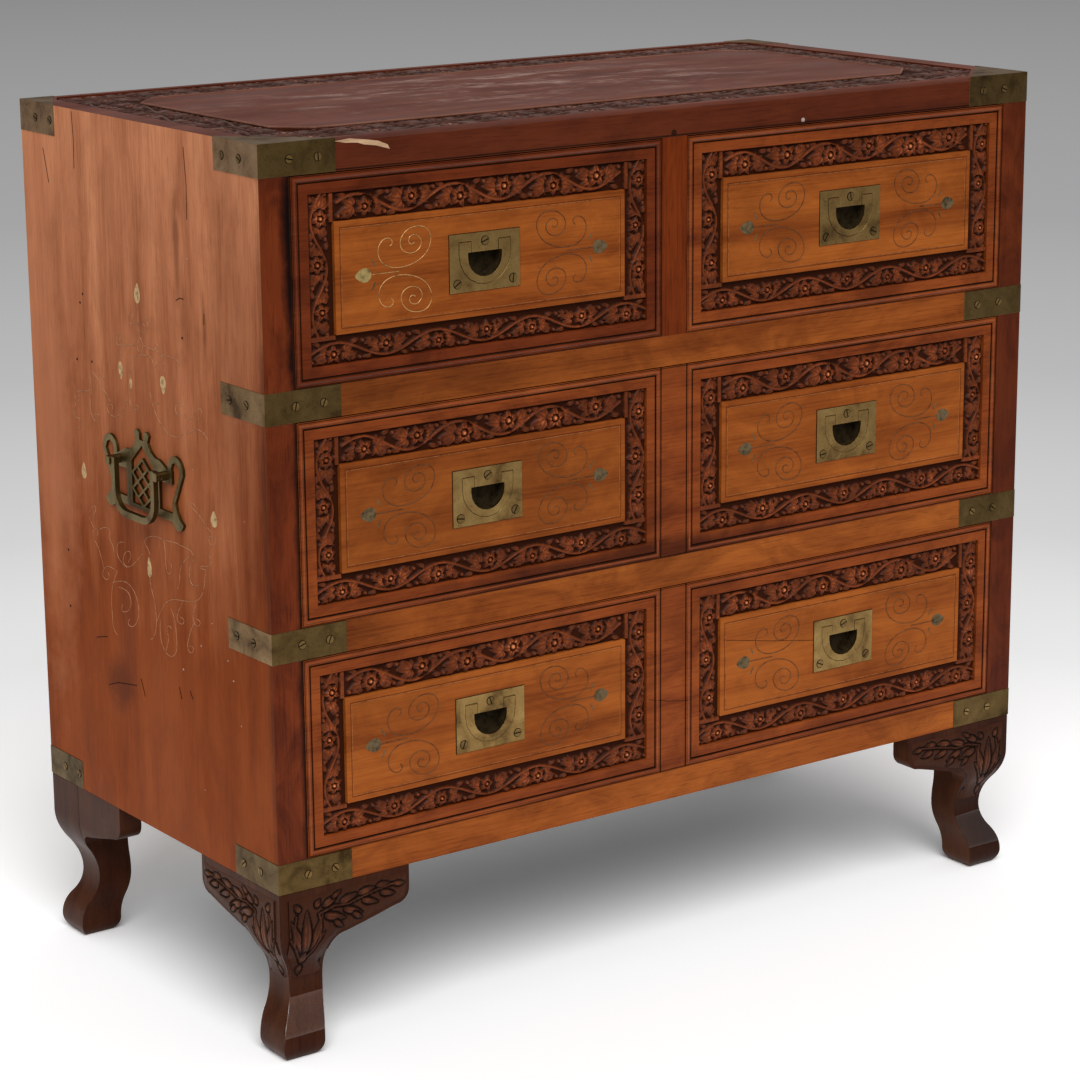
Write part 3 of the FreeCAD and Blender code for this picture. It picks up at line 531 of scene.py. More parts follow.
# A paler, glossy patch on the toe's upward slope: a painted highlight.
def toe_painted_highlight():
    colour = redder(woods().leg, 1.25)
    stains = [(*RIGHT_LEG_SHADE, 0.9)]
    return finish("polished toe", wood, colour, "Z", rough=0.2, contrast=0.8, gloss=0.9, stains=stains)


def inside_wood():
    return finish("inside wood", wood, woods().inside, "Y", rough=0.6, contrast=0.7)


def raw_wood():
    return finish("raw wood", wood, woods().raw, "X", rough=0.8, gloss=0.02)


def back_wood():
    return finish("back wood", wood, woods().inside, "Z", rough=0.6, contrast=0.9, shift=(0.4, 0.2, 0.9))


# Near-black wood: painted shade in grooves and gaps, and the own colour of the dark peg in the top.
def painted_shade_and_peg_wood():
    return finish("wood in the gaps", wood, (0.026, 0.008, 0.003), "X", rough=0.6, gloss=0.04)


def carved_pair(name, shades, gloss, ground_gloss):
    """One finish for the leaves and one with less gloss for the ground."""
    leaves = finish(name, carved_wood, *shades, gloss)
    return [leaves, finish(name + " ground", carved_wood, *shades, ground_gloss)]


def carving_finishes():
    carving = bpy.context.scene.chest_carving
    return carved_pair("carved drawer", (carving.ground, carving.body, carving.crest), 0.1, 0.03)


def top_carving_finishes():
    """The top's carving, darker and greyer than the drawers': painted sheen."""
    carving = bpy.context.scene.chest_carving
    return carved_pair("carved top", (carving.ground, carving.top_body, carving.top_crest), 0.14, 0.06)


def leg_carving_finishes(face):
    # Sprays on the front faces are a darker copy than those on the sides: painted shade.
    leg = redder(woods().leg, 0.85 if face == "front" else 1.25)
    return carved_pair("carved leg " + face, (rgba(leg, 0.14), leg, redder(leg, 2.6)), 0.08, 0.03)


BRASSES = {
    "pale strap brass": dict(factor=1.1, rough=0.46, tint=(1.0, 0.98, 1.5)),
    "strap brass": dict(factor=0.82, rough=0.46, tint=(1.0, 0.97, 1.2)),
    "tarnished strap brass": dict(factor=0.37, rough=0.46),
    "pull brass": dict(factor=0.94, rough=0.40),
    "handle brass": dict(factor=0.72, rough=0.42, tint=(0.97, 1.12, 1.3)),
    "handle shade": dict(factor=0.26, rough=0.5),
    "screw brass": dict(factor=0.72, rough=0.42),
}


def brass(name):
    return finish(name, aged_brass, bpy.context.scene.chest_brass, **BRASSES[name])


# Dirt and painted shade in cracks, holes, slots, rims and plate outlines.
def dirt():
    return finish("dirt", one_colour, bpy.context.scene.chest_brass.hollow, 0.8, 0.0)


# Pieces


def add_piece(name, bm, materials, body, slot, replaced=(), smooth=SMOOTH):
    mesh = bpy.data.meshes.new(name)
    bm.to_mesh(mesh)
    bm.free()
    return add_mesh(name, mesh, materials, body, slot, replaced, smooth)


def add_mesh(name, mesh, materials, body, slot, replaced=(), smooth=SMOOTH):
    for material in materials:
        mesh.materials.append(material)
    mesh.shade_smooth()
    mesh.set_sharp_from_angle(angle=smooth)
    piece = bpy.data.objects.new(name, mesh)
    bpy.context.scene.collection.objects.link(piece)
    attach(piece, body)
    if replaced:
        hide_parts(*replaced)
    return piece


def body_of(node):
    return nodes[node]["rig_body"]


def paint(node, material):
    """Gives a plain node its finish."""
    slots = nodes[node].data.materials
    slots.clear()
    slots.append(material)


def merged_copy(node):
    """A copy of a node's mesh with its triangles joined into flat faces."""
    bm = bmesh.new()
    bm.from_mesh(nodes[node].data)
    bmesh.ops.remove_doubles(bm, verts=bm.verts, dist=WELD)
    bmesh.ops.dissolve_limit(
        bm, angle_limit=FLAT, use_dissolve_boundaries=False, verts=bm.verts, edges=bm.edges, delimit=set()
    )
    return bm


def only(kind, items):
    """The vertices, edges or faces among the results of an operator."""
    return [item for item in items if isinstance(item, kind)]


def softened(node, width, materials, segments=2, pick=None):
    """Stands for a node with its sharp edges rounded."""
    bm = merged_copy(node)
    edges = [edge for edge in bm.edges if edge.is_manifold and edge.calc_face_angle() > CORNER]
    bmesh.ops.bevel(
        bm, geom=edges, offset=width, offset_type="OFFSET", segments=segments, profile=0.5,
        affect="EDGES", clamp_overlap=True, material=-1
    )
    if pick:
        for face in bm.faces:
            face.material_index = pick(face)
    piece = add_piece(node + "_dressed", bm, materials, body_of(node), slot_of[node], [node])
    evened = piece.modifiers.new("even shading", "WEIGHTED_NORMAL")
    evened.keep_sharp = True
    return piece


# Carving

GROUND_LEVEL = 0.2
UNEVEN = 0.05


class Relief:
    """Heights over a grid, from 0 at the ground to 1 at the top, raised one form at a time."""

    def __init__(self, width, height, step):
        self.columns = round(width / step)
        self.rows = round(height / step)
        self.width = width
        self.height = height
        self.levels = np.zeros((self.rows + 1, self.columns + 1))
        self.grid_u = np.linspace(0.0, width, self.columns + 1)
        self.grid_v = np.linspace(0.0, height, self.rows + 1)

    def window(self, u, v, reach):
        low_u, high_u = np.searchsorted(self.grid_u, (u - reach, u + reach))
        low_v, high_v = np.searchsorted(self.grid_v, (v - reach, v + reach))
        place = (slice(low_v, high_v), slice(low_u, high_u))
        across, up = np.meshgrid(self.grid_u[place[1]] - u, self.grid_v[place[0]] - v)
        return place, across, up

    def raise_to(self, place, levels):
        self.levels[place] = np.maximum(self.levels[place], levels)

    def oval(self, u, v, turn, length, width):
        """A pointed oval from its root outwards: how far along and aside each grid point is."""
        place, across, up = self.window(u, v, length * 1.05)
        along = (across * math.cos(turn) + up * math.sin(turn)) / length
        aside = -across * math.sin(turn) + up * math.cos(turn)
        safe = np.clip(along, 0.0, 1.0)
        half = width / 2 * np.sin(np.pi * safe ** 0.75) ** 0.7 + 1e-6
        ratio = np.clip(np.abs(aside) / half, 0.0, 1.0)
        return place, safe, aside, np.where((along > 0.0) & (along < 1.0), ratio, 1.0)

    def petal(self, u, v, turn, length, width, top=1.0):
        """A pointed oval with a grooved middle."""
        place, safe, aside, ratio = self.oval(u, v, turn, length, width)
        level = top * (1.0 - ratio ** 2) ** 0.5 * (0.55 + 0.45 * np.sin(np.pi * safe ** 0.6))
        level = level - 0.30 * top * np.exp(-(aside / (0.13 * width)) ** 2) * (safe < 0.85)
        self.raise_to(place, np.where(ratio < 1.0, level, 0.0))

    def sunk_petal(self, u, v, turn, length, width, cut):
        """A petal with a cut of a given width round it."""
        back = (u - cut * math.cos(turn), v - cut * math.sin(turn))
        place, _, _, ratio = self.oval(*back, turn, length + 2 * cut, width + 2.6 * cut)
        self.levels[place] *= ratio == 1.0
        self.petal(u, v, turn, length, width)

    def clear(self, u, v, radius):
        """Cuts back to the ground round a place."""
        place, across, up = self.window(u, v, radius)
        self.levels[place] *= (across ** 2 + up ** 2) > radius ** 2

    def berry(self, u, v, radius, top=1.0):
        place, across, up = self.window(u, v, radius * 1.05)
        ratio = np.clip((across ** 2 + up ** 2) / radius ** 2, 0.0, 1.0)
        self.raise_to(place, top * np.sqrt(1.0 - ratio))

    @staticmethod
    def along(points, last, count):
        """Places along a line of points, a count of them from each point towards the next."""
        for start, end in zip(points, points[1:]):
            for share in np.linspace(0.0, last, count):
                yield start[0] + (end[0] - start[0]) * share, start[1] + (end[1] - start[1]) * share

    def stem(self, points, radius, top):
        """A round stem along a line."""
        for u, v in self.along(points, 0.9, 8):
            self.berry(u, v, radius, top)

    def cut_line(self, points, radius):
        """Cuts to the ground along a line."""
        for u, v in self.along(points, 1.0, 12):
            self.clear(u, v, radius)

    def bar(self, low_u, high_u, low_v, high_v, top):
        columns = slice(*np.searchsorted(self.grid_u, (low_u, high_u)))
        rows = slice(*np.searchsorted(self.grid_v, (low_v, high_v)))
        self.raise_to((rows, columns), top)

    def leaf(self, u, v, turn, size, top=0.95):
        """A vine leaf of five lobes."""
        for lean, share in ((0.0, 1.0), (0.75, 0.82), (-0.75, 0.82), (1.5, 0.6), (-1.5, 0.6)):
            self.petal(u, v, turn + lean, size * share, size * 0.46, top)

    def flower(self, u, v, radius, petals, turn):
        for index in range(petals):
            self.petal(u, v, turn + 2 * math.pi * index / petals, radius, radius * 0.66)
        self.clear(u, v, radius * 0.34)
        self.berry(u, v, radius * 0.27)

    def at(self, u, v):
        row = min(self.rows, max(0, round(v / self.height * self.rows)))
        column = min(self.columns, max(0, round(u / self.width * self.columns)))
        return float(self.levels[row, column])


def vine(relief, start, heading, length, width, cell, dice, phase):
    """A running vine in a straight band: a flower, leaves, shoots and berries fill each bend of the stem."""
    count = max(1, round(length / cell))
    cell = length / count
    cos, sin = math.cos(heading), math.sin(heading)

    def spot(along, aside):
        return (start[0] + cos * along - sin * aside, start[1] + sin * along + cos * aside)

    def stem_at(along):
        return width / 2 + 0.36 * width * math.sin(math.pi * along / cell + phase)

    steps = count * 14
    path = [spot(length * i / steps, stem_at(length * i / steps)) for i in range(steps + 1)]
    relief.stem(path, 0.075 * width, 0.79)
    for index in range(count):
        middle = (index + 0.5) * cell
        side = 1.0 if math.sin(math.pi * (index + 0.5) + phase) > 0 else -1.0
        rest = width / 2 - side * 0.09 * width
        center = spot(middle + dice.uniform(-0.07, 0.07) * cell, rest)
        for hand in (-1, 1):
            outward = heading + (0.0 if hand > 0 else math.pi)
            root = spot(middle + hand * 0.16 * cell, rest + side * 0.06 * width)
            lean = outward - hand * side * dice.uniform(0.1, 0.35)
            relief.leaf(*root, lean, 0.64 * width * dice.uniform(0.85, 1.2))
            shoot = spot(middle + hand * 0.30 * cell, width / 2 + side * 0.32 * width)
            lean = outward + hand * side * dice.uniform(0.05, 0.4)
            relief.petal(*shoot, lean, 0.42 * width, 0.22 * width, 0.85)
            small = spot(middle + hand * 0.30 * cell, width / 2 - side * 0.28 * width)
            lean = outward + hand * side * dice.uniform(0.1, 0.5)
            relief.leaf(*small, lean, 0.36 * width, 0.85)
        relief.clear(*center, 0.40 * width)
        radius = 0.44 * width * dice.uniform(0.85, 1.1)
        petals = dice.choice((5, 6, 7))
        relief.flower(*center, radius, petals, dice.uniform(0, 1.0))
        for hand in (-1, 1):
            berry = spot(middle + hand * 0.47 * cell, width / 2 - side * 0.33 * width)
            relief.berry(*berry, 0.10 * width, 0.8)


def carved_sheet(name, relief, keep, to_space, ring, finishes, body, slot):
    """A grid cut to the carved area, pushed to its heights and closed behind."""
    dice = random.Random(name)
    bm = bmesh.new()
    bmesh.ops.create_grid(bm, x_segments=relief.columns, y_segments=relief.rows, size=1.0)
    corner = Vector((min(v.co.x for v in bm.verts), min(v.co.y for v in bm.verts)))
    reach = Vector((max(v.co.x for v in bm.verts), max(v.co.y for v in bm.verts))) - corner
    for vert in bm.verts:
        vert.co.x = (vert.co.x - corner.x) / reach.x * relief.width
        vert.co.y = (vert.co.y - corner.y) / reach.y * relief.height
    outside = [face for face in bm.faces if not keep(*face.calc_center_median().xy)]
    bmesh.ops.delete(bm, geom=outside, context="FACES")
    levels = bm.verts.layers.float.new("relief")
    for vert in bm.verts:
        vert[levels] = relief.at(vert.co.x, vert.co.y)
    for face in bm.faces:
        face.material_index = int(max(vert[levels] for vert in face.verts) < GROUND_LEVEL)
    rim = [edge for edge in bm.edges if edge.is_boundary]
    walls = bmesh.ops.extrude_edge_only(bm, edges=rim)["geom"]
    back = set(only(BMVert, walls))
    for vert in bm.verts:
        u, v = vert.co.xy
        if vert in back:
            vert[levels] = 0.0
            vert.co = to_space(u, v, 0.0, True)
        else:
            uneven = UNEVEN * (dice.random() - 0.5)
            vert.co = to_space(u, v, vert[levels] + uneven, False)
    loop = [edge for edge in only(BMEdge, walls) if edge.is_boundary and back.issuperset(edge.verts)]
    if ring:
        bmesh.ops.bridge_loops(bm, edges=loop)
    else:
        bmesh.ops.holes_fill(bm, edges=loop, sides=0)
        bmesh.ops.recalc_face_normals(bm, faces=bm.faces)
    return add_piece(name, bm, finishes, body, slot, smooth=CARVED_SMOOTH)


def rectangle(y, low_x, high_x, low_z, high_z):
    """The corners of an upright rectangle that faces the front."""
    corners = ((low_x, low_z), (high_x, low_z), (high_x, high_z), (low_x, high_z))
    return [Vector((x, y, z)) for x, z in corners]


class CHEST_OT_finish_woods(bpy.types.Operator):
    """Gives the boards, rails, stiles and drawer boxes their woods"""

    bl_idname = "chest.finish_woods"
    bl_label = "Finish the woods"

    def execute(self, context):
        for node in ("left_side_panel", "right_side_panel"):
            paint(node, side_wood())
        for node in ("left_front_stile", "right_front_stile"):
            paint(node, stile_wood())
        paint("center_stile", finish("center stile wood", wood, woods().post, "Z", rough=0.34))
        for node in ("upper_rail", "lower_rail"):
            paint(node, rail_wood())
        softened("bottom_board", 0.4 * MM, [rail_wood(), raw_wood()], pick=self.faces_down)
        softened("back_boards", 1.2 * MM, [back_wood()])
        for node in ("drawer_runners", "drawer_guides"):
            paint(node, inside_wood())
        for drawer in DRAWERS:
            for part in ("_sides", "_back", "_bottom"):
                paint(drawer + part, inside_wood())
        return {"FINISHED"}

    @staticmethod
    def faces_down(face):
        return int(face.normal.z < -0.6)


BEAD_INSET, BEAD_WIDTH = 3.7 * MM, 3.4 * MM
GROOVE_INSET, GROOVE_WIDTH = 6.2 * MM, 1.5 * MM
GAP_SHADOW_INSET, GAP_SHADOW_WIDTH = 0.9 * MM, 1.7 * MM
CARVING_BACK = 4.0 * MM
BAR_SHARE = 0.16
BAR_LEVEL = 0.74


def panels(drawer):
    """The middle of each panel of a drawer's front, and half its width and height."""
    low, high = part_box(drawer + "_front")
    middles = []
    for hand in DRAWERS[drawer]:
        plate_low, plate_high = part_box(drawer + hand + "_pull_plate")
        middles.append((hand, (plate_low.x + plate_high.x) / 2))
    short_low, short_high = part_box("top_left_drawer_front")
    half_width = (short_high.x - short_low.x) / 2
    return middles, half_width, (low.z + high.z) / 2, (high.z - low.z) / 2


class CHEST_OT_carve_drawers(bpy.types.Operator):
    """Rounds the drawer fronts and fills their borders with a carved vine"""

    bl_idname = "chest.carve_drawers"
    bl_label = "Carve the drawers"

    def execute(self, context):
        settings = context.scene.chest_carving
        for drawer in DRAWERS:
            middles, half_width, middle_z, half_height = panels(drawer)
            inset = settings.margin + settings.width

            def kind(face):
                corners = [vert.co for vert in face.verts]
                high = half_height - max(abs(co.z - middle_z) for co in corners)
                wide = half_width - max(min(abs(co.x - x) for _, x in middles) for co in corners)
                if min(high, wide) > inset - MM:
                    return 0
                # Sunk faces near the edge, in the grooves and on the front's edges, take the near-black wood
                # as painted shade.
                sunk = min(co.y for co in corners) > FRONT + 0.2 * MM and face.normal.y < 0.5
                return 2 if sunk and min(high, wide) < settings.margin - MM else 1

            materials = [field_wood(), border_wood(drawer), painted_shade_and_peg_wood()]
            softened(drawer + "_front", 0.5 * MM, materials, pick=kind)
            for hand, x in middles:
                self.border(drawer, hand, x, half_width, middle_z, half_height, settings)
            colour = redder(border_colour(drawer), 1.05)
            bead = finish(drawer + " bead wood", wood, colour, "X", rough=0.24, gloss=0.4)
            low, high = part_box(drawer + "_front")
            each_panel = [(x, half_width) for _, x in middles]
            whole_front = [((low.x + high.x) / 2, (high.x - low.x) / 2)]
            # The groove line inside each bead and the line round the front's edge are dark tubes of painted
            # shade, in the groove and in the gap round the drawer.
            for part, reach, inset_by, width, material, sunk in (
                ("_bead", each_panel, BEAD_INSET, BEAD_WIDTH, bead, 0.2),
                ("_bead_groove_shade", each_panel, GROOVE_INSET, GROOVE_WIDTH, painted_shade_and_peg_wood(), 0.32),
                ("_painted_gap_shadow", whole_front, GAP_SHADOW_INSET, GAP_SHADOW_WIDTH, painted_shade_and_peg_wood(), 0.32),
            ):
                up = half_height - inset_by
                strokes = []
                for x, half in reach:
                    across = half - inset_by
                    y = FRONT + sunk * width
                    strokes.append(rectangle(y, x - across, x + across, middle_z - up, middle_z + up))
                wires(drawer + part, strokes, width, material, drawer, "drawer_front_wood", True, True)
        return {"FINISHED"}

    def border(self, drawer, hand, x, half_width, z, half_height, settings):
        band = settings.width
        cell = settings.cell
        width = 2 * (half_width - settings.margin)
        height = 2 * (half_height - settings.margin)
        relief = Relief(width, height, settings.step)
        dice = random.Random(drawer + hand)
        bar = BAR_SHARE * band
        vine(relief, (0.0, 0.0), 0.0, width, band - bar, cell, dice, 0.0)
        vine(relief, (band + bar, height - band), 0.0, width - 2 * (band + bar), band, cell, dice, 0.4)
        for low_u in (band - bar, width):
            vine(relief, (low_u, band), math.pi / 2, height - band, band - bar, 0.85 * cell, dice, 0.3)
        for low_u, high_u in ((0.0, band), (width - band, width)):
            relief.bar(low_u, high_u, band - bar, band, BAR_LEVEL)
        for low_u, high_u in ((band - bar, band), (width - band, width - band + bar)):
            relief.bar(low_u, high_u, height - band, height, BAR_LEVEL)

        def keep(u, v):
            return not (band < u < width - band and band < v < height - band)

        def to_space(u, v, level, back):
            y = FRONT + (CARVING_BACK if back else settings.depth * (1.0 - level) + 0.1 * MM)
            return Vector((x - width / 2 + u, y, z - height / 2 + v))

        name = drawer + hand + "_carving"
        carved_sheet(name, relief, keep, to_space, True, carving_finishes(), drawer, "drawer_front_wood")


FRONT_BEND, SIDE_BEND = 76 * MM, 70 * MM
FRONT_BRACKET = (78 * MM, 75 * MM)
BACK_BRACKET = (36 * MM, 68 * MM)
BRACKET_GAP = 4 * MM
BEAD_HIGHLIGHT = (0.21, 0.085, 0.055)


class CHEST_OT_carve_top(bpy.types.Operator):
    """Rounds the top and fills its band with a carved vine"""

    bl_idname = "chest.carve_top"
    bl_label = "Carve the top"

    side_margin: length_setting("Side margin", "From the side to the carved band", 24 * MM)
    front_margin: length_setting("Front margin", "From the front to the carved band", 10 * MM)
    side_band: length_setting("Side band", "Width of the band along the sides", 50 * MM)
    front_band: length_setting("Front band", "Width of the band along the front and back", 64 * MM)
    sink: length_setting("Sink", "Depth of the band", 3 * MM)
    clip: length_setting("Clip", "Cut corners of the plain panel", 30 * MM)

    def execute(self, context):
        settings = context.scene.chest_carving
        low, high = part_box("top_board")
        floor = TOP - self.sink

        def kind(face):
            if face.normal.z > 0.95:
                return int(face.calc_center_median().z < floor + 0.5 * MM)
            return 3 if 0.25 < face.normal.z else 2

        materials = [top_wood(), top_carving_finishes()[1], edge_wood(), worn_edge()]
        softened("top_board", 1.4 * MM, materials, pick=kind)
        half_depth = (high.y - low.y) / 2
        reach_x = SIDE - self.side_margin
        reach_y = half_depth - self.front_margin
        width, height = 2 * reach_x, 2 * reach_y
        relief = Relief(width, height, settings.top_step)
        dice = random.Random("top")
        row = self.front_band / 2
        for low_v in (0.0, height - self.front_band):
            for offset, phase in ((0.0, 0.0), (row, math.pi)):
                vine(relief, (0.0, low_v + offset), 0.0, width, row, FRONT_BEND, dice, phase)
        row = self.side_band / 2
        length = height - 2 * self.front_band
        for low_u in (self.side_band, width):
            for offset, phase in ((0.0, 0.0), (row, math.pi)):
                start = (low_u - offset, self.front_band)
                vine(relief, start, math.pi / 2, length, row, SIDE_BEND, dice, phase)
        inner_x = reach_x - self.side_band
        inner_y = reach_y - self.front_band

        def keep(u, v):
            x, y = u - reach_x, v - reach_y
            inside = abs(x) < inner_x and abs(y) < inner_y
            inside = inside and abs(x) + abs(y) < inner_x + inner_y - self.clip
            across, along = FRONT_BRACKET if y < 0 else BACK_BRACKET
            from_side = SIDE - abs(x)
            from_end = half_depth - abs(y)
            return not inside and from_side / (across + BRACKET_GAP) + from_end / (along + BRACKET_GAP) > 1.0

        def to_space(u, v, level, back):
            z = floor if back else floor + 0.1 * MM + (self.sink - 0.3 * MM) * level
            return Vector((u - reach_x, MIDDLE + v - reach_y, z))

        carved_sheet("top_carving", relief, keep, to_space, True, top_carving_finishes(), "case", "top_wood")
        self.bead(inner_x, inner_y)
        return {"FINISHED"}

    def bead(self, reach_x, reach_y):
        """A rounded line along the edge of the plain panel."""
        points = []
        for sign_x, sign_y in ((1, 1), (-1, 1), (-1, -1), (1, -1)):
            along_x = (sign_x * (reach_x - self.clip), MIDDLE + sign_y * reach_y)
            along_y = (sign_x * reach_x, MIDDLE + sign_y * (reach_y - self.clip))
            points += [along_y, along_x] if sign_x == sign_y else [along_x, along_y]
        stroke = [Vector((x, y, TOP - 0.4 * MM)) for x, y in points]
        # The bead is paler than the top: a painted highlight along the panel's edge.
        worn = finish("worn top wood", wood, BEAD_HIGHLIGHT, "X", rough=0.35, contrast=0.8)
        wires("top_bead", [stroke], 2.6 * MM, worn, "case", "top_wood", closed=True, straight=True)


def wires(name, strokes, width, material, body, slot, closed=False, straight=False):
    """Round wire bent along each stroke and half let into the wood."""
    curve = bpy.data.curves.new(name, "CURVE")
    curve.dimensions = "3D"
    curve.bevel_depth = width / 2
    curve.bevel_resolution = 1
    curve.use_fill_caps = True
    for stroke in strokes:
        spline = curve.splines.new("POLY" if straight else "NURBS")
        spline.points.add(len(stroke) - 1)
        for point, place in zip(spline.points, stroke):
            point.co = (*place, 1.0)
        spline.use_cyclic_u = closed
        if not straight:
            spline.order_u = 3
            spline.use_endpoint_u = True
            spline.resolution_u = 4
    bent = bpy.data.objects.new(name, curve)
    bpy.context.scene.collection.objects.link(bent)
    bpy.context.view_layer.update()
    mesh = bpy.data.meshes.new_from_object(bent.evaluated_get(bpy.context.evaluated_depsgraph_get()))
    mesh.name = name
    bpy.data.objects.remove(bent)
    mesh.materials.clear()
    return add_mesh(name, mesh, [material], body, slot)


def drop_shape(bm, to_space, length, width, fullness, thickness, kind=0):
    """A pointed drop let into the wood, its point at the far end."""
    ring = bmesh.ops.create_circle(bm, cap_ends=True, segments=22, radius=1.0)["verts"]
    for vert in ring:
        angle = math.atan2(vert.co.y, vert.co.x)
        along = (1.0 + math.cos(angle)) / 2 * length
        aside = math.sin(angle) * abs(math.sin(angle / 2)) ** fullness * width / 2
        vert.co = Vector((along, aside, 0.0))
    face = ring[0].link_faces[0]
    face.material_index = kind
    raised = bmesh.ops.extrude_face_region(bm, geom=[face])["geom"]
    for vert in ring:
        vert.co = to_space(vert.co.x, vert.co.y, -thickness)
    for vert in only(BMVert, raised):
        vert.co = to_space(vert.co.x, vert.co.y, thickness)


SCROLL = (
    (101, 25), (98, 27), (99.5, 32), (105, 33.5), (111, 30), (114.5, 22), (112, 12), (104, 5.5), (92, 3),
    (76, 5.5), (62, 14), (56.5, 28), (61, 38.5), (71, 42), (83, 39.5), (91, 30), (89.5, 20), (80, 15),
    (70, 18.5), (67, 27), (73, 34), (80.5, 32.5), (82, 27), (78, 23.5), (75, 26),
)
SCROLL_SQUEEZE = 0.93
SCROLL_BAR = (92.0, 108.0, 123.0)
STRING_WIDTH = 0.6 * MM
STRING_GAP = 1.2 * MM
TIP_FROM = 0.121
MARK_FROM = (0.1165, 0.007)


class CHEST_OT_lay_drawer_inlay(bpy.types.Operator):
    """Lays wire scrolls, tips and string lines into the drawer fields"""

    bl_idname = "chest.lay_drawer_inlay"
    bl_label = "Lay the drawer inlay"

    def execute(self, context):
        inlay = context.scene.chest_inlay
        carving = context.scene.chest_carving
        bright = finish("bright wire", one_colour, inlay.bright, 0.35, 0.5)
        dull = finish("dull wire", one_colour, inlay.dull, 0.5, 0.1)
        string = finish("string line", one_colour, inlay.string, 0.5, 0.1)
        groove = finish("string groove", one_colour, woods().border, 0.6, 0.0)
        tips = [finish("inlaid tip", one_colour, inlay.tip, 0.42, 0.5)]
        tips.append(finish("dull tip", one_colour, inlay.dull_tip, 0.55, 0.0))
        surface = FRONT - 0.1 * MM
        inset = carving.margin + carving.width + inlay.line_inset
        for drawer in DRAWERS:
            middles, half_width, z, half_height = panels(drawer)
            bm = bmesh.new()
            for hand, x in middles:
                for part, metal, grow in (("_string", string, 0.0), ("_string_groove", groove, STRING_GAP)):
                    across, up = half_width - inset + grow, half_height - inset + grow
                    line = rectangle(surface, x - across, x + across, z - up, z + up)
                    name = drawer + hand + part
                    wires(name, [line], STRING_WIDTH, metal, drawer, "drawer_front_wood", True, True)
                for side in (-1, 1):
                    kept = drawer == "top_left_drawer" and side < 0
                    strokes = []
                    for flip in (-1, 1):
                        places = [(x + side * a * MM, z + flip * b * MM * SCROLL_SQUEEZE) for a, b in SCROLL]
                        strokes.append([Vector((across, surface, up)) for across, up in places])
                    strokes.append([Vector((x + side * a * MM, surface, z)) for a in SCROLL_BAR])
                    name = drawer + hand + ("_outer_wire" if side * x > 0 else "_inner_wire")
                    wires(name, strokes, inlay.wire, bright if kept else dull, drawer, "pull_brass")
                    self.tips(bm, x, z, side, 0 if kept else 1)
            bmesh.ops.recalc_face_normals(bm, faces=bm.faces)
            add_piece(drawer + "_tips", bm, tips, drawer, "pull_brass")
        return {"FINISHED"}

    def tips(self, bm, x, z, side, kind):
        """A tip at the end of the scrolls and a small mark above and below it."""

        def tip_at(along, aside, rise):
            return Vector((x + side * (TIP_FROM + along), FRONT - rise, z + aside))

        drop_shape(bm, tip_at, 17 * MM, 15 * MM, 0.55, 0.12 * MM, kind)
        for flip in (-1, 1):

            def mark_at(along, aside, rise):
                across = side * (MARK_FROM[0] + 0.6 * along)
                return Vector((x + across, FRONT - rise, z + flip * (MARK_FROM[1] + along) + aside))

            drop_shape(bm, mark_at, 7 * MM, 4 * MM, 0.7, 0.1 * MM, 1)


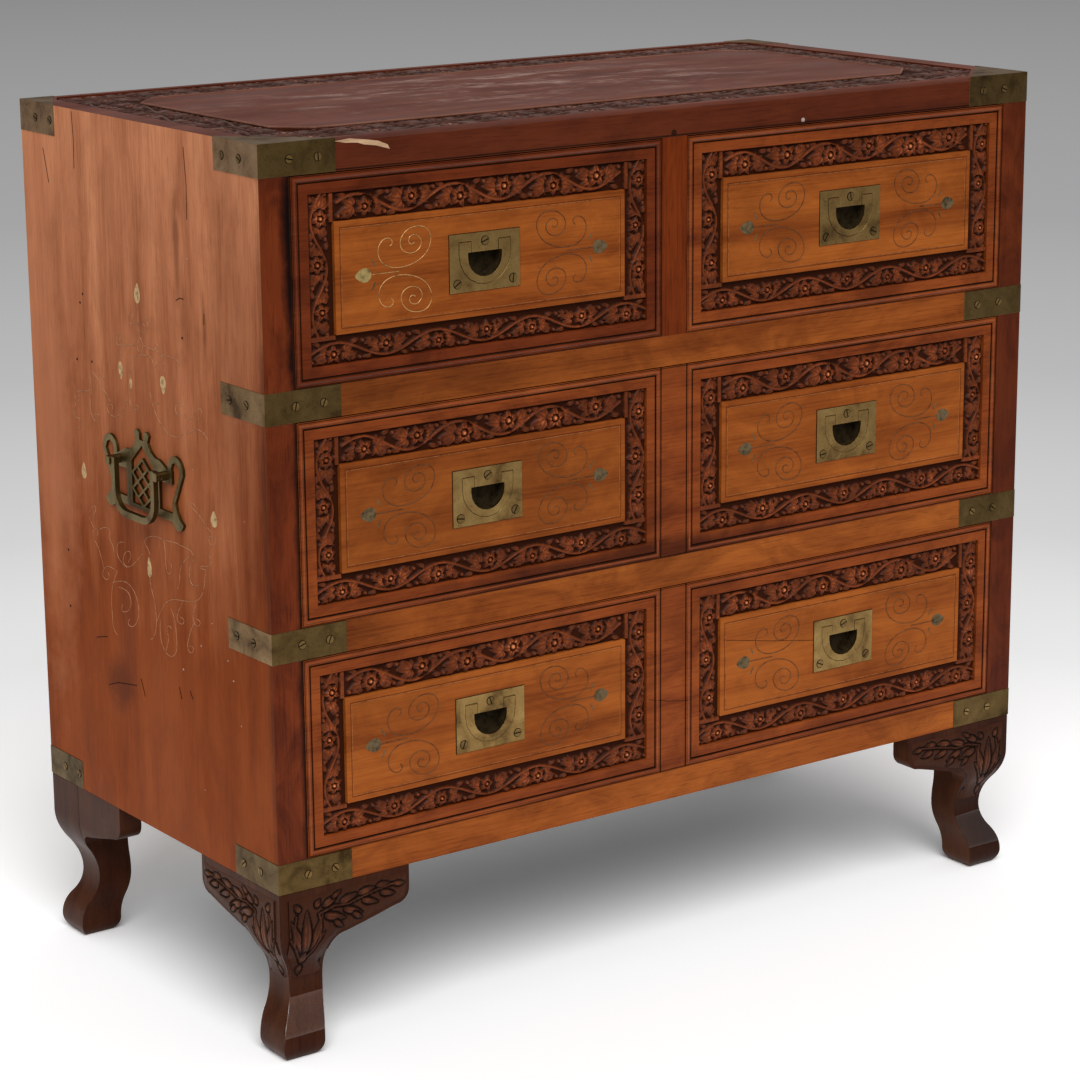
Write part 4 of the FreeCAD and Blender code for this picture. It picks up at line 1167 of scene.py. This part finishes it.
SIDE_WIRE = (
    ((3, 160), (2, 145), (1, 128)),
    ((1, 144), (10, 139), (19, 139), (20, 147), (15, 151), (12, 148), (15, 143), (18, 144)),
    ((2, 135), (-6, 133), (-15, 138), (-17, 146), (-12, 150), (-7, 146), (-8, 140), (-12, 142)),
    ((0, 129), (6, 123), (5, 116), (1, 114), (-4, 118), (-6, 124), (0, 129)),
    ((1, 113), (11, 109), (16, 106), (17, 100), (14, 100)),
    ((1, 113), (-10, 113), (-20, 114), (-23, 109), (-25, 104), (-30, 107), (-29, 111)),
    ((8, 120), (23, 119), (35, 116), (45, 115), (46, 119), (41, 127), (36, 123), (41, 120)),
    ((35, 116), (39, 108), (40, 101)),
    ((-7, 122), (-18, 121), (-29, 121), (-34, 125), (-31, 128), (-26, 123), (-37, 119), (-45, 115),
     (-44, 102)),
    ((-37, 119), (-52, 119), (-66, 119), (-74, 116)),
    ((17, 100), (22, 94), (21, 87)),
    ((22, 78), (26, 68), (21, 59), (12, 58), (7, 62), (12, 64), (16, 61)),
    ((-15, 80), (-20, 66), (-32, 53), (-48, 46)),
    ((-24, 71), (-30, 74), (-32, 71)),
    ((28, 66), (37, 54), (51, 45), (65, 45), (71, 51), (65, 56), (57, 55), (60, 51)),
    ((63, 58), (70, 66), (82, 69), (83, 77), (77, 83), (71, 79), (76, 75)),
    ((84, 75), (93, 80), (101, 82), (101, 71), (99, 64), (110, 60), (116, 60)),
    ((99, 64), (104, 53), (103, 41), (97, 34), (89, 33), (84, 41), (92, 42), (97, 38)),
    ((111, 59), (127, 59), (135, 53), (130, 47), (122, 51), (126, 54)),
    ((132, 47), (137, 37), (136, 30), (126, 32), (124, 26), (131, 20), (136, 21)),
    ((-48, 46), (-59, 45), (-72, 48), (-79, 58), (-81, 76), (-74, 82), (-65, 79), (-61, 71), (-66, 66),
     (-74, 70), (-71, 75)),
    ((-80, 65), (-92, 69), (-99, 76), (-107, 81), (-110, 78), (-106, 71), (-99, 67)),
    ((-80, 52), (-96, 60), (-109, 60), (-119, 54)),
    ((-1, -100), (-4, -112), (-10, -123), (-11, -140)),
    ((-3, -77), (-1, -72), (7, -68), (4, -62), (-7, -58), (-19, -56), (-31, -57), (-52, -55)),
    ((12, -79), (30, -94), (43, -99), (52, -95), (46, -84), (36, -81), (33, -86), (40, -93)),
    ((43, -99), (59, -96), (63, -84), (57, -76), (47, -75)),
    ((63, -107), (73, -120), (77, -134), (77, -151), (76, -168), (68, -171)),
    ((73, -120), (57, -114), (40, -114), (28, -121), (22, -135), (26, -148), (37, -157), (48, -155),
     (42, -149)),
    ((61, -122), (49, -121), (39, -125), (37, -136), (49, -145), (60, -144), (55, -138)),
    ((63, -107), (78, -104), (90, -109), (94, -117), (86, -121), (77, -115), (82, -112)),
    ((90, -109), (95, -97), (102, -88), (111, -82), (106, -73), (97, -73), (100, -79)),
    ((106, -73), (116, -67), (113, -55), (103, -49), (100, -55), (107, -60)),
    ((97, -73), (83, -66), (73, -69), (78, -77), (69, -82), (68, -89)),
    ((-11, -140), (-22, -123), (-40, -111), (-64, -108), (-88, -104), (-101, -93), (-104, -82), (-107, -69)),
    ((-19, -134), (-16, -147), (-20, -163), (-35, -170), (-49, -161), (-48, -140), (-44, -124), (-39, -121)),
    ((-27, -164), (-35, -151), (-29, -144), (-34, -137), (-39, -140)),
    ((-64, -108), (-51, -122), (-50, -131), (-61, -132), (-65, -125), (-57, -125)),
    ((-88, -104), (-80, -116), (-81, -126), (-91, -127), (-95, -120), (-87, -120)),
    ((-81, -126), (-68, -144), (-69, -156), (-78, -155), (-80, -148), (-73, -149)),
    ((-52, -55), (-68, -56), (-80, -56), (-88, -61), (-79, -71), (-75, -84), (-84, -91), (-94, -86)),
    ((-77, -63), (-67, -69), (-58, -81), (-59, -92), (-53, -99)),
    ((-31, -57), (-34, -70), (-32, -81), (-37, -90), (-46, -82), (-42, -77)),
    ((-107, -69), (-95, -71), (-99, -67), (-115, -65), (-119, -56), (-112, -53)),
    ((-120, -45), (-112, -40), (-120, -34), (-129, -36), (-124, -43), (-120, -45)),
    ((-121, -32), (-109, -28), (-102, -21), (-87, -16), (-81, -13), (-87, -10), (-92, -13)),
    ((3, -160), (-7, -160), (-11, -140)),
)
SIDE_DROPS = (
    (3, 160, 94, 19, 13), (40, 100, -92, 17, 10), (-40, 99, -92, 17, 13), (21, 87, -90, 10, 6),
    (122, -27, 90, 16, 12), (-125, -26, 90, 15, 14), (-1, -99, 90, 20, 10),
)


class CHEST_OT_lay_side_inlay(bpy.types.Operator):
    """Lays thin wire scrolls and pale drops round the side handles"""

    bl_idname = "chest.lay_side_inlay"
    bl_label = "Lay the side inlay"

    def execute(self, context):
        inlay = context.scene.chest_inlay
        faint = finish("side wire", one_colour, inlay.faint, 0.5, 0.0)
        pale = finish("pale drop", one_colour, inlay.drop, 0.45, 0.0)
        for side, name in ((-1, "left"), (1, "right")):
            lines = [[on_side(side, a, b, 0.0) for a, b in stroke] for stroke in SIDE_WIRE]
            wires(name + "_side_wire", lines, 0.7 * MM, faint, "case", "handle_brass")
            bm = bmesh.new()
            for a, b, turn, length, width in SIDE_DROPS:
                cos, sin = math.cos(math.radians(turn)), math.sin(math.radians(turn))

                def to_space(along, aside, rise):
                    place = on_side(side, a, b, rise)
                    return place + Vector((0.0, along * cos - aside * sin, along * sin + aside * cos))

                drop_shape(bm, to_space, length * MM, width * MM, 0.7, 0.12 * MM)
            bmesh.ops.recalc_face_normals(bm, faces=bm.faces)
            add_piece(name + "_side_drops", bm, [pale], "case", "handle_brass")
        return {"FINISHED"}


def on_side(side, a, b, rise):
    """A place on a side, in millimetres from the middle of its handle."""
    low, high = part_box("left_handle_plate")
    return Vector((side * (SIDE + rise), MIDDLE + a * MM, (low.z + high.z) / 2 + b * MM))


SIDE_CRACKS = (
    ((116, 325), (114, 300), (115, 272)), ((177, 285), (172, 268), (168, 253)),
    ((-93, 313), (-96, 280), (-95, 249)), ((-70, 173), (-77, 176), (-84, 176)), ((-120, 168), (-119, 158)),
    ((90, -226), (70, -219), (33, -213)), ((24, -204), (17, -220)), ((-50, -194), (-54, -205)),
    ((-70, -193), (-75, -200)), ((111, -183), (88, -177)),
)
SIDE_HOLES = ((109, 154), (115, 145), (126, 89), (96, 91), (-79, 140), (162, -106), (163, -163))
SIDE_SPECKS = ((-59, -175), (-142, -147), (-151, -164))
DRAWER_CRACKS = (((-30, 271), (-4, 265), (21, 261)), ((62, 315), (120, 304), (187, 293)))
SPLINTER = (
    (-373, 839), (-362, 837), (-349, 836), (-343, 834), (-330, 832), (-316, 828), (-318, 832), (-328, 836),
    (-340, 838), (-357, 840.3),
)
TOP_PEG = (-1.0, 816.6)
TOP_NAIL = (155.7, 816.6)
STILE_GAP_SHADOW = ((-419.6, 195), (-419.6, 812))
TOP_GAP_SHADOW = ((-417, 814.4), (417, 814.4))
GAP_SHADOW_DEPTH = 0.9 * MM
NAIL_HEAD = (0.40, 0.33, 0.29)
SPECK = (0.55, 0.47, 0.38)


def on_front(x, z, depth=0.0):
    """A place on the front, in millimetres from the middle of the chest and from the floor."""
    return Vector((x * MM, FRONT + depth, z * MM))


class CHEST_OT_wear_surfaces(bpy.types.Operator):
    """Adds hairline cracks, nail holes, a peg, specks, painted gap shadows and a splintered edge"""

    bl_idname = "chest.wear_surfaces"
    bl_label = "Wear the surfaces"

    def execute(self, context):
        lines = [[on_side(-1, a, b, 0.0) for a, b in crack] for crack in SIDE_CRACKS]
        wires("left_side_cracks", lines, 0.8 * MM, dirt(), "case", "side_wood", straight=True)
        lines = [[on_front(x, z) for x, z in crack] for crack in DRAWER_CRACKS]
        slot = "drawer_front_wood"
        wires("bottom_drawer_cracks", lines, 0.5 * MM, dirt(), "bottom_drawer", slot, straight=True)
        sideways = Vector((-1.0, 0.0, 0.0))
        forwards = Vector((0.0, -1.0, 0.0))
        holes = [(on_side(-1, a, b, 0.0), sideways, 1.3 * MM) for a, b in SIDE_HOLES]
        self.dots("left_side_holes", holes, dirt(), "side_wood")
        self.dots("top_peg", [(on_front(*TOP_PEG), forwards, 3.2 * MM)], painted_shade_and_peg_wood(), "top_wood")
        nail_head = finish("nail head", one_colour, NAIL_HEAD, 0.5, 0.0)
        self.dots("top_nail", [(on_front(*TOP_NAIL), forwards, 2.2 * MM)], nail_head, "top_wood")
        dice = random.Random("specks")
        specks = [(on_side(-1, a, b, 0.0), sideways, 0.9 * MM) for a, b in SIDE_SPECKS]
        for _ in range(9):
            place = on_side(-1, dice.uniform(-205, -60), dice.uniform(-300, 260), 0.0)
            specks.append((place, sideways, dice.uniform(0.4, 0.7) * MM))
        self.dots("specks", specks, finish("speck", one_colour, SPECK, 0.6, 0.0), "side_wood")
        # Dark tubes of painted shadow in the gap beside the left stile and under the top's front edge.
        for name, ends, width, slot in (
            ("left_stile_gap_shadow", STILE_GAP_SHADOW, 2.4 * MM, "frame_wood"),
            ("top_gap_shadow", TOP_GAP_SHADOW, 2.6 * MM, "top_wood"),
        ):
            line = [on_front(x, z, GAP_SHADOW_DEPTH) for x, z in ends]
            wires(name, [line], width, painted_shade_and_peg_wood(), "case", slot, straight=True)
        self.splinter()
        return {"FINISHED"}

    def dots(self, name, places, material, slot):
        """Small flat discs let into a surface."""
        bm = bmesh.new()
        for place, outward, radius in places:
            matrix = Matrix.Translation(place) @ outward.to_track_quat("Z", "Y").to_matrix().to_4x4()
            bmesh.ops.create_cone(
                bm, cap_ends=True, segments=10, radius1=radius, radius2=radius, depth=0.3 * MM, matrix=matrix
            )
        add_piece(name, bm, [material], "case", slot)

    def splinter(self):
        """Bare wood where the front edge of the top has split off."""
        bm = bmesh.new()
        ring = bmesh.ops.create_circle(bm, cap_ends=True, segments=len(SPLINTER), radius=1.0)["verts"]
        for vert, (x, z) in zip(ring, SPLINTER):
            vert.co = on_front(x, z, -0.15 * MM)
        raised = bmesh.ops.extrude_face_region(bm, geom=[ring[0].link_faces[0]])["geom"]
        for vert in only(BMVert, raised):
            vert.co.y = FRONT + 0.3 * MM
        bmesh.ops.recalc_face_normals(bm, faces=bm.faces)
        bare = finish("bare wood", wood, woods().pale, "X", rough=0.6, contrast=1.2)
        add_piece("top_splinter", bm, [bare], "case", "top_wood")


# Brass


def islands(node):
    """The corners of each separate solid of a node."""
    bm = merged_copy(node)
    left = set(bm.verts)
    found = []
    while left:
        group = [left.pop()]
        for vert in group:
            for edge in vert.link_edges:
                other = edge.other_vert(vert)
                if other in left:
                    left.remove(other)
                    group.append(other)
        low = Vector([min(v.co[i] for v in group) for i in range(3)])
        high = Vector([max(v.co[i] for v in group) for i in range(3)])
        found.append((low, high))
    bm.free()
    return sorted(found, key=lambda pair: tuple(pair[0]))


def slotted_head(bm, matrix, radius, height, slot):
    """A low slotted head on the plane z = 0 of the matrix."""
    ring = bmesh.ops.create_circle(bm, cap_ends=True, segments=20, radius=0.86 * radius)["verts"]
    face = ring[0].link_faces[0]
    bmesh.ops.translate(bm, verts=ring, vec=(0.0, 0.0, height))
    geometry = [face, *ring, *face.edges]
    for side in (-1, 1):
        cut = bmesh.ops.bisect_plane(
            bm, geom=geometry, dist=1e-7, plane_co=(side * slot / 2, 0.0, 0.0), plane_no=(1.0, 0.0, 0.0)
        )
        geometry = cut["geom"]
    middle = min(only(BMFace, geometry), key=lambda item: abs(item.calc_center_median().x))
    rim = [edge for edge in only(BMEdge, geometry) if edge.is_boundary]
    skirt = bmesh.ops.extrude_edge_only(bm, edges=rim)["geom"]
    lower = only(BMVert, skirt)
    for vert in lower:
        flat = vert.co.xy.normalized() * radius
        vert.co = Vector((flat.x, flat.y, 0.0))
    # The skirt round the head and the slot's floor take the second finish, dirt and painted shade.
    for wall in only(BMFace, skirt):
        wall.material_index = 1
    sunk = bmesh.ops.extrude_discrete_faces(bm, faces=[middle])["faces"]
    bmesh.ops.translate(bm, verts=list(sunk[0].verts), vec=(0.0, 0.0, -0.8 * height))
    sunk[0].material_index = 1
    verts = {vert for vert in only(BMVert, geometry) if vert.is_valid}
    verts |= set(lower) | set(sunk[0].verts)
    bmesh.ops.transform(bm, matrix=matrix, verts=list(verts))


def dress_screws(node, radius, height, slot):
    """Slotted heads in the place of a node's plain ones."""
    dice = random.Random(node)
    bm = bmesh.new()
    for low, high in islands(node):
        size = high - low
        thin = min(range(3), key=lambda i: size[i])
        middle = (low + high) / 2
        outward = Vector((0.0, 0.0, 0.0))
        outward[thin] = 1.0 if middle[thin] > (MIDDLE if thin == 1 else 0.0) else -1.0
        seat = middle - outward * size[thin] / 2
        turn = outward.to_track_quat("Z", "Y") @ Quaternion((0.0, 0.0, 1.0), dice.uniform(0.0, math.pi))
        slotted_head(bm, Matrix.Translation(seat) @ turn.to_matrix().to_4x4(), radius, height, slot)
    bmesh.ops.recalc_face_normals(bm, faces=bm.faces)
    add_piece(node + "_slotted", bm, [brass("screw brass"), dirt()], body_of(node), slot_of[node], [node])


SCREW_HEIGHT = 0.55 * MM
STRAP_SCREW, PULL_SCREW = 4.2 * MM, 4.5 * MM
BRACKET_DROP = 0.06
CUP_FROM = 2 * MM


class CHEST_OT_fit_straps(bpy.types.Operator):
    """Rounds and ages the corner straps, paints shade on their front faces and sheen on the top brackets'
    left faces, and puts slotted screws in them
    """

    bl_idname = "chest.fit_straps"
    bl_label = "Fit the straps"

    def execute(self, context):
        settings = context.scene.chest_brass
        brasses = [brass(name) for name in ("strap brass", "tarnished strap brass", "pale strap brass")]
        for node in ("top_corner_brackets", "rail_straps"):
            softened(node, settings.edge, brasses, pick=self.kind)
        softened("bottom_corner_straps", settings.edge, [brass("tarnished strap brass")])
        dress_screws("strap_screws", STRAP_SCREW, SCREW_HEIGHT, settings.slot)
        return {"FINISHED"}

    @staticmethod
    def kind(face):
        # Front faces take the darker brass as painted shade; left faces near the top take the pale,
        # blue-tinted brass as painted sheen.
        if face.normal.y < -0.6:
            return 1
        return 2 if face.calc_center_median().z > TOP - BRACKET_DROP and face.normal.x < -0.6 else 0


class CHEST_OT_fit_pulls(bpy.types.Operator):
    """Rounds and ages the flush pulls, with painted shade in their cups and a painted shadow line round each
    plate
    """

    bl_idname = "chest.fit_pulls"
    bl_label = "Fit the pulls"

    def execute(self, context):
        settings = context.scene.chest_brass
        brasses = [brass("pull brass"), finish("pull cup", one_colour, settings.cup, 0.7, 0.0)]
        for drawer, hands in DRAWERS.items():
            for hand in hands:
                pull = drawer + hand + "_pull"
                softened(pull + "_plate", settings.edge, brasses, pick=self.in_cup_shade)
                low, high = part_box(pull + "_plate")
                # A dark tube round each plate's edge: painted shadow.
                line = rectangle(FRONT, low.x, high.x, low.z, high.z)
                wires(pull + "_gap", [line], 1.2 * MM, dirt(), drawer, "pull_brass", True, True)
                softened(pull + "_bail", 0.5 * MM, brasses[:1])
            dress_screws(drawer + "_pull_screws", PULL_SCREW, SCREW_HEIGHT, settings.slot)
        return {"FINISHED"}

    @staticmethod
    def in_cup_shade(face):
        # Faces deep in the cup take the dark cup colour: painted shade.
        return int(face.calc_center_median().y > FRONT + CUP_FROM)


class CHEST_OT_fit_handles(bpy.types.Operator):
    """Rounds and ages the carrying handles and paints shade on their side faces"""

    bl_idname = "chest.fit_handles"
    bl_label = "Fit the handles"

    def execute(self, context):
        brasses = [brass("handle brass"), brass("handle shade")]
        for side in ("left", "right"):
            softened(side + "_handle_plate", 0.7 * MM, brasses, pick=self.kind)
            softened(side + "_handle_posts", 0.8 * MM, brasses, pick=self.kind)
            softened(side + "_handle_bail", 1.4 * MM, brasses, segments=3, pick=self.kind)
        return {"FINISHED"}

    @staticmethod
    def kind(face):
        # Side faces take the dark brass as painted shade.
        return int(abs(face.normal.x) < 0.5)


SPRAY_LEFT, SPRAY_WIDTH, SPRAY_HEIGHT = 9 * MM, 128 * MM, 84 * MM
SPRAY_BASE = LEG_TOP - 90 * MM
SPRAY_END = LEG_TOP - 7 * MM
SPRAY_STEP = 0.9 * MM
SPRAY_EDGE = 4.0 * MM
SPRAY_GROUND = 0.62
FADE_STEPS = 8
SPRAY_STEMS = (
    ((8, 66), (5, 52), (6, 38), (12, 26), (18, 16)), ((32, 64), (34, 52), (32, 38), (26, 27), (18, 16)),
    ((32, 64), (48, 68), (64, 67), (82, 71), (100, 74), (116, 76)),
)
SPRAY_LEAVES = (
    (14, 32, 2.35, 20, 6), (24, 32, 0.79, 20, 6), (16, 28, 1.95, 38, 8), (22, 28, 1.19, 38, 8),
    (19, 26, 1.57, 45, 10), (19, 15, 1.57, 13, 8), (18, 13, -1.57, 11, 6), (38, 61, -0.30, 24, 8),
    (36, 70, 0.45, 19, 7), (54, 70, 0.25, 21, 7), (58, 63, -0.35, 22, 7), (74, 74, 0.15, 19, 6),
    (78, 67, -0.30, 19, 6), (94, 77, 0.05, 15, 5), (98, 70, -0.25, 17, 6), (113, 75, -0.1, 13, 5),
    (46, 76, 0.5, 12, 4), (48, 54, -0.7, 13, 5), (68, 57, -0.6, 13, 5), (12, 70, 2.2, 10, 6),
    (28, 71, 0.9, 9, 6),
)


class CHEST_OT_shape_legs(bpy.types.Operator):
    """Rounds the legs and carves leaf sprays on the front ones"""

    bl_idname = "chest.shape_legs"
    bl_label = "Shape the legs"

    def execute(self, context):
        materials = [leg_wood(), leg_front_shaded_wood(), toe_painted_highlight()]
        for node in ("front_left_leg", "front_right_leg", "back_left_leg", "back_right_leg"):
            softened(node, 1.6 * MM, materials, segments=3, pick=self.kind)
        for node in ("front_leg_ears", "back_leg_ears"):
            softened(node, 1.2 * MM, materials[:2], pick=self.kind)
        self.surface = self.solid_surface()
        for side in (-1, 1):
            self.spray("front", side)
            self.spray("side", side)
        return {"FINISHED"}

    @staticmethod
    def kind(face):
        # Front faces take the darker leg wood as painted shade, and the toe's upward slopes a painted
        # highlight.
        if face.normal.y > -0.55:
            return 0
        return 2 if face.normal.z > 0.2 and face.calc_center_median().z < LEG_TOP / 2 else 1

    def solid_surface(self):
        """The faces that the sprays are carved on."""
        bm = bmesh.new()
        for node in ("front_left_leg", "front_right_leg", "front_leg_ears"):
            bm.from_mesh(nodes[node].data)
        tree = BVHTree.FromBMesh(bm)
        bm.free()
        return tree

    def spray(self, face, side):
        """Leaves and stems cut into one face of a front leg and its ear."""
        relief = Relief(SPRAY_WIDTH, SPRAY_HEIGHT, SPRAY_STEP)
        relief.levels += SPRAY_GROUND
        stems = [[(u * MM, v * MM) for u, v in stem] for stem in SPRAY_STEMS]
        for stem in stems:
            relief.cut_line(stem, 2.6 * MM)
        for u, v, turn, length, breadth in SPRAY_LEAVES:
            relief.sunk_petal(u * MM, v * MM, turn, length * MM, breadth * MM, 1.2 * MM)
        for stem in stems:
            relief.stem(stem, 1.2 * MM, 0.9)
        inward = Vector((0.0, 1.0, 0.0)) if face == "front" else Vector((-side, 0.0, 0.0))

        def under(x, z):
            """The place on the leg or its ear, seen square on."""
            if face == "front":
                start = Vector((side * (SIDE - x), FRONT - 0.1, z))
            else:
                start = Vector((side * (SIDE + 0.1), FRONT + x, z))
            return self.surface.ray_cast(start, inward, 0.14)[0]

        def keep(u, v):
            x, z = u + SPRAY_LEFT, SPRAY_BASE + v
            sides = ((-SPRAY_EDGE, 0), (SPRAY_EDGE, 0), (0, -SPRAY_EDGE), (0, SPRAY_EDGE))
            return all([under(x + a, z + b) for a, b in sides]) and z < SPRAY_END

        on_leg = np.array([[keep(u, v) for u in relief.grid_u] for v in relief.grid_v])
        faded = Relief(SPRAY_WIDTH, SPRAY_HEIGHT, SPRAY_STEP)
        for _ in range(FADE_STEPS):
            faded.levels += on_leg / FADE_STEPS
            inner = on_leg.copy()
            inner[1:-1, 1:-1] &= on_leg[:-2, 1:-1] & on_leg[2:, 1:-1] & on_leg[1:-1, :-2] & on_leg[1:-1, 2:]
            on_leg = inner

        def to_space(u, v, level, back):
            rise = -1.0 * MM if back else (0.15 + 2.0 * level * faded.at(u, v)) * MM
            return under(u + SPRAY_LEFT, SPRAY_BASE + v) - inward * rise

        hand = "left" if side < 0 else "right"
        name = f"{hand}_{face}_spray"
        carved_sheet(name, relief, keep, to_space, False, leg_carving_finishes(face), "case", "leg_wood")


FLOOR_RADIUS = 60.0
FADE_RADIUS = 12.0
KEY_FROM = (-0.32, -0.60, 0.73)
KEY_SPREAD = math.radians(40)
SENSOR = 36.0


class CHEST_OT_set_stage(bpy.types.Operator):
    """Sets the floor, the soft light and the camera"""

    bl_idname = "chest.set_stage"
    bl_label = "Set the stage"

    def execute(self, context):
        stage = context.scene.chest_stage
        self.floor(stage)
        self.light(context, stage)
        self.camera(context, stage)
        return {"FINISHED"}

    def floor(self, stage):
        bm = bmesh.new()
        bmesh.ops.create_circle(bm, cap_ends=True, segments=64, radius=FLOOR_RADIUS)
        mesh = bpy.data.meshes.new("floor")
        bm.to_mesh(mesh)
        bm.free()
        floor = bpy.data.objects.new("floor", mesh)
        bpy.context.scene.collection.objects.link(floor)
        mixed = Finish("floor")
        far = mixed.span(mixed.length(mixed.place), 0.0, FADE_RADIUS)
        near = stage.floor
        # The floor's colour paints a pool of light round the chest, falling to grey far off.
        shade = mixed.ramp(
            far, (0.06, rgba(near)), (0.09, rgba(near, 0.77)), (0.14, rgba(near, 0.58)),
            (0.24, rgba(near, 0.43)), (0.40, rgba(near, 0.33)), (0.95, rgba(stage.far_floor))
        )
        lifted = mixed.mix(1.0, shade, (stage.lift, stage.lift, stage.lift, 1.0), "MULTIPLY")
        shade = mixed.mix(mixed.seen(), shade, lifted)
        mixed.set(Base_Color=shade, Roughness=0.9, Specular_IOR_Level=0.0)
        mesh.materials.append(mixed.material)

    def light(self, context, stage):
        world = bpy.data.worlds.new("studio")
        world.use_nodes = True
        sky = Nodes(world.node_tree)
        ground = world.node_tree.nodes["Background"]
        sky.feed(ground.inputs["Color"], WHITE)
        sky.feed(ground.inputs["Strength"], sky.span(sky.seen(), 0.0, 1.0, stage.sky, stage.backdrop))
        context.scene.world = world
        sun = bpy.data.lights.new("key", "SUN")
        sun.energy = stage.sun
        sun.angle = KEY_SPREAD
        key = bpy.data.objects.new("key", sun)
        key.rotation_mode = "QUATERNION"
        key.rotation_quaternion = Vector(KEY_FROM).to_track_quat("Z", "Y")
        context.scene.collection.objects.link(key)

    def camera(self, context, stage):
        lens = bpy.data.cameras.new("camera")
        lens.sensor_fit = "HORIZONTAL"
        lens.sensor_width = SENSOR
        lens.lens = stage.lens
        eye = bpy.data.objects.new("camera", lens)
        eye.location = stage.eye
        eye.rotation_mode = "QUATERNION"
        gaze = Vector(stage.gaze).to_track_quat("-Z", "Y")
        eye.rotation_quaternion = gaze @ Quaternion((0.0, 0.0, 1.0), stage.roll)
        context.scene.collection.objects.link(eye)
        context.scene.camera = eye
        context.scene.view_settings.view_transform = "Standard"


OPERATORS = (
    CHEST_OT_finish_woods,
    CHEST_OT_carve_drawers,
    CHEST_OT_carve_top,
    CHEST_OT_lay_drawer_inlay,
    CHEST_OT_lay_side_inlay,
    CHEST_OT_wear_surfaces,
    CHEST_OT_fit_straps,
    CHEST_OT_fit_pulls,
    CHEST_OT_fit_handles,
    CHEST_OT_shape_legs,
    CHEST_OT_set_stage,
)


class CHEST_PT_sidebar(bpy.types.Panel):
    """Lists the steps that dress the chest"""

    bl_idname = "CHEST_PT_sidebar"
    bl_label = "Campaign chest"
    bl_space_type = "VIEW_3D"
    bl_region_type = "UI"
    bl_category = "Chest"

    def draw(self, context):
        for operator in OPERATORS:
            self.layout.operator(operator.bl_idname)


SETTINGS = {
    "chest_woods": ChestWoods,
    "chest_carving": ChestCarving,
    "chest_inlay": ChestInlay,
    "chest_brass": ChestBrass,
    "chest_stage": ChestStage,
}


def register():
    for group in SETTINGS.values():
        bpy.utils.register_class(group)
    for operator in OPERATORS:
        bpy.utils.register_class(operator)
    bpy.utils.register_class(CHEST_PT_sidebar)
    for name, group in SETTINGS.items():
        setattr(bpy.types.Scene, name, PointerProperty(type=group))


def unregister():
    for name in SETTINGS:
        delattr(bpy.types.Scene, name)
    bpy.utils.unregister_class(CHEST_PT_sidebar)
    for operator in reversed(OPERATORS):
        bpy.utils.unregister_class(operator)
    for group in reversed(SETTINGS.values()):
        bpy.utils.unregister_class(group)


def main():
    register()
    bpy.ops.chest.finish_woods()
    bpy.ops.chest.carve_drawers()
    bpy.ops.chest.carve_top()
    bpy.ops.chest.lay_drawer_inlay()
    bpy.ops.chest.lay_side_inlay()
    bpy.ops.chest.wear_surfaces()
    bpy.ops.chest.fit_straps()
    bpy.ops.chest.fit_pulls()
    bpy.ops.chest.fit_handles()
    bpy.ops.chest.shape_legs()
    bpy.ops.chest.set_stage()


if __name__ == "__main__":
    main()
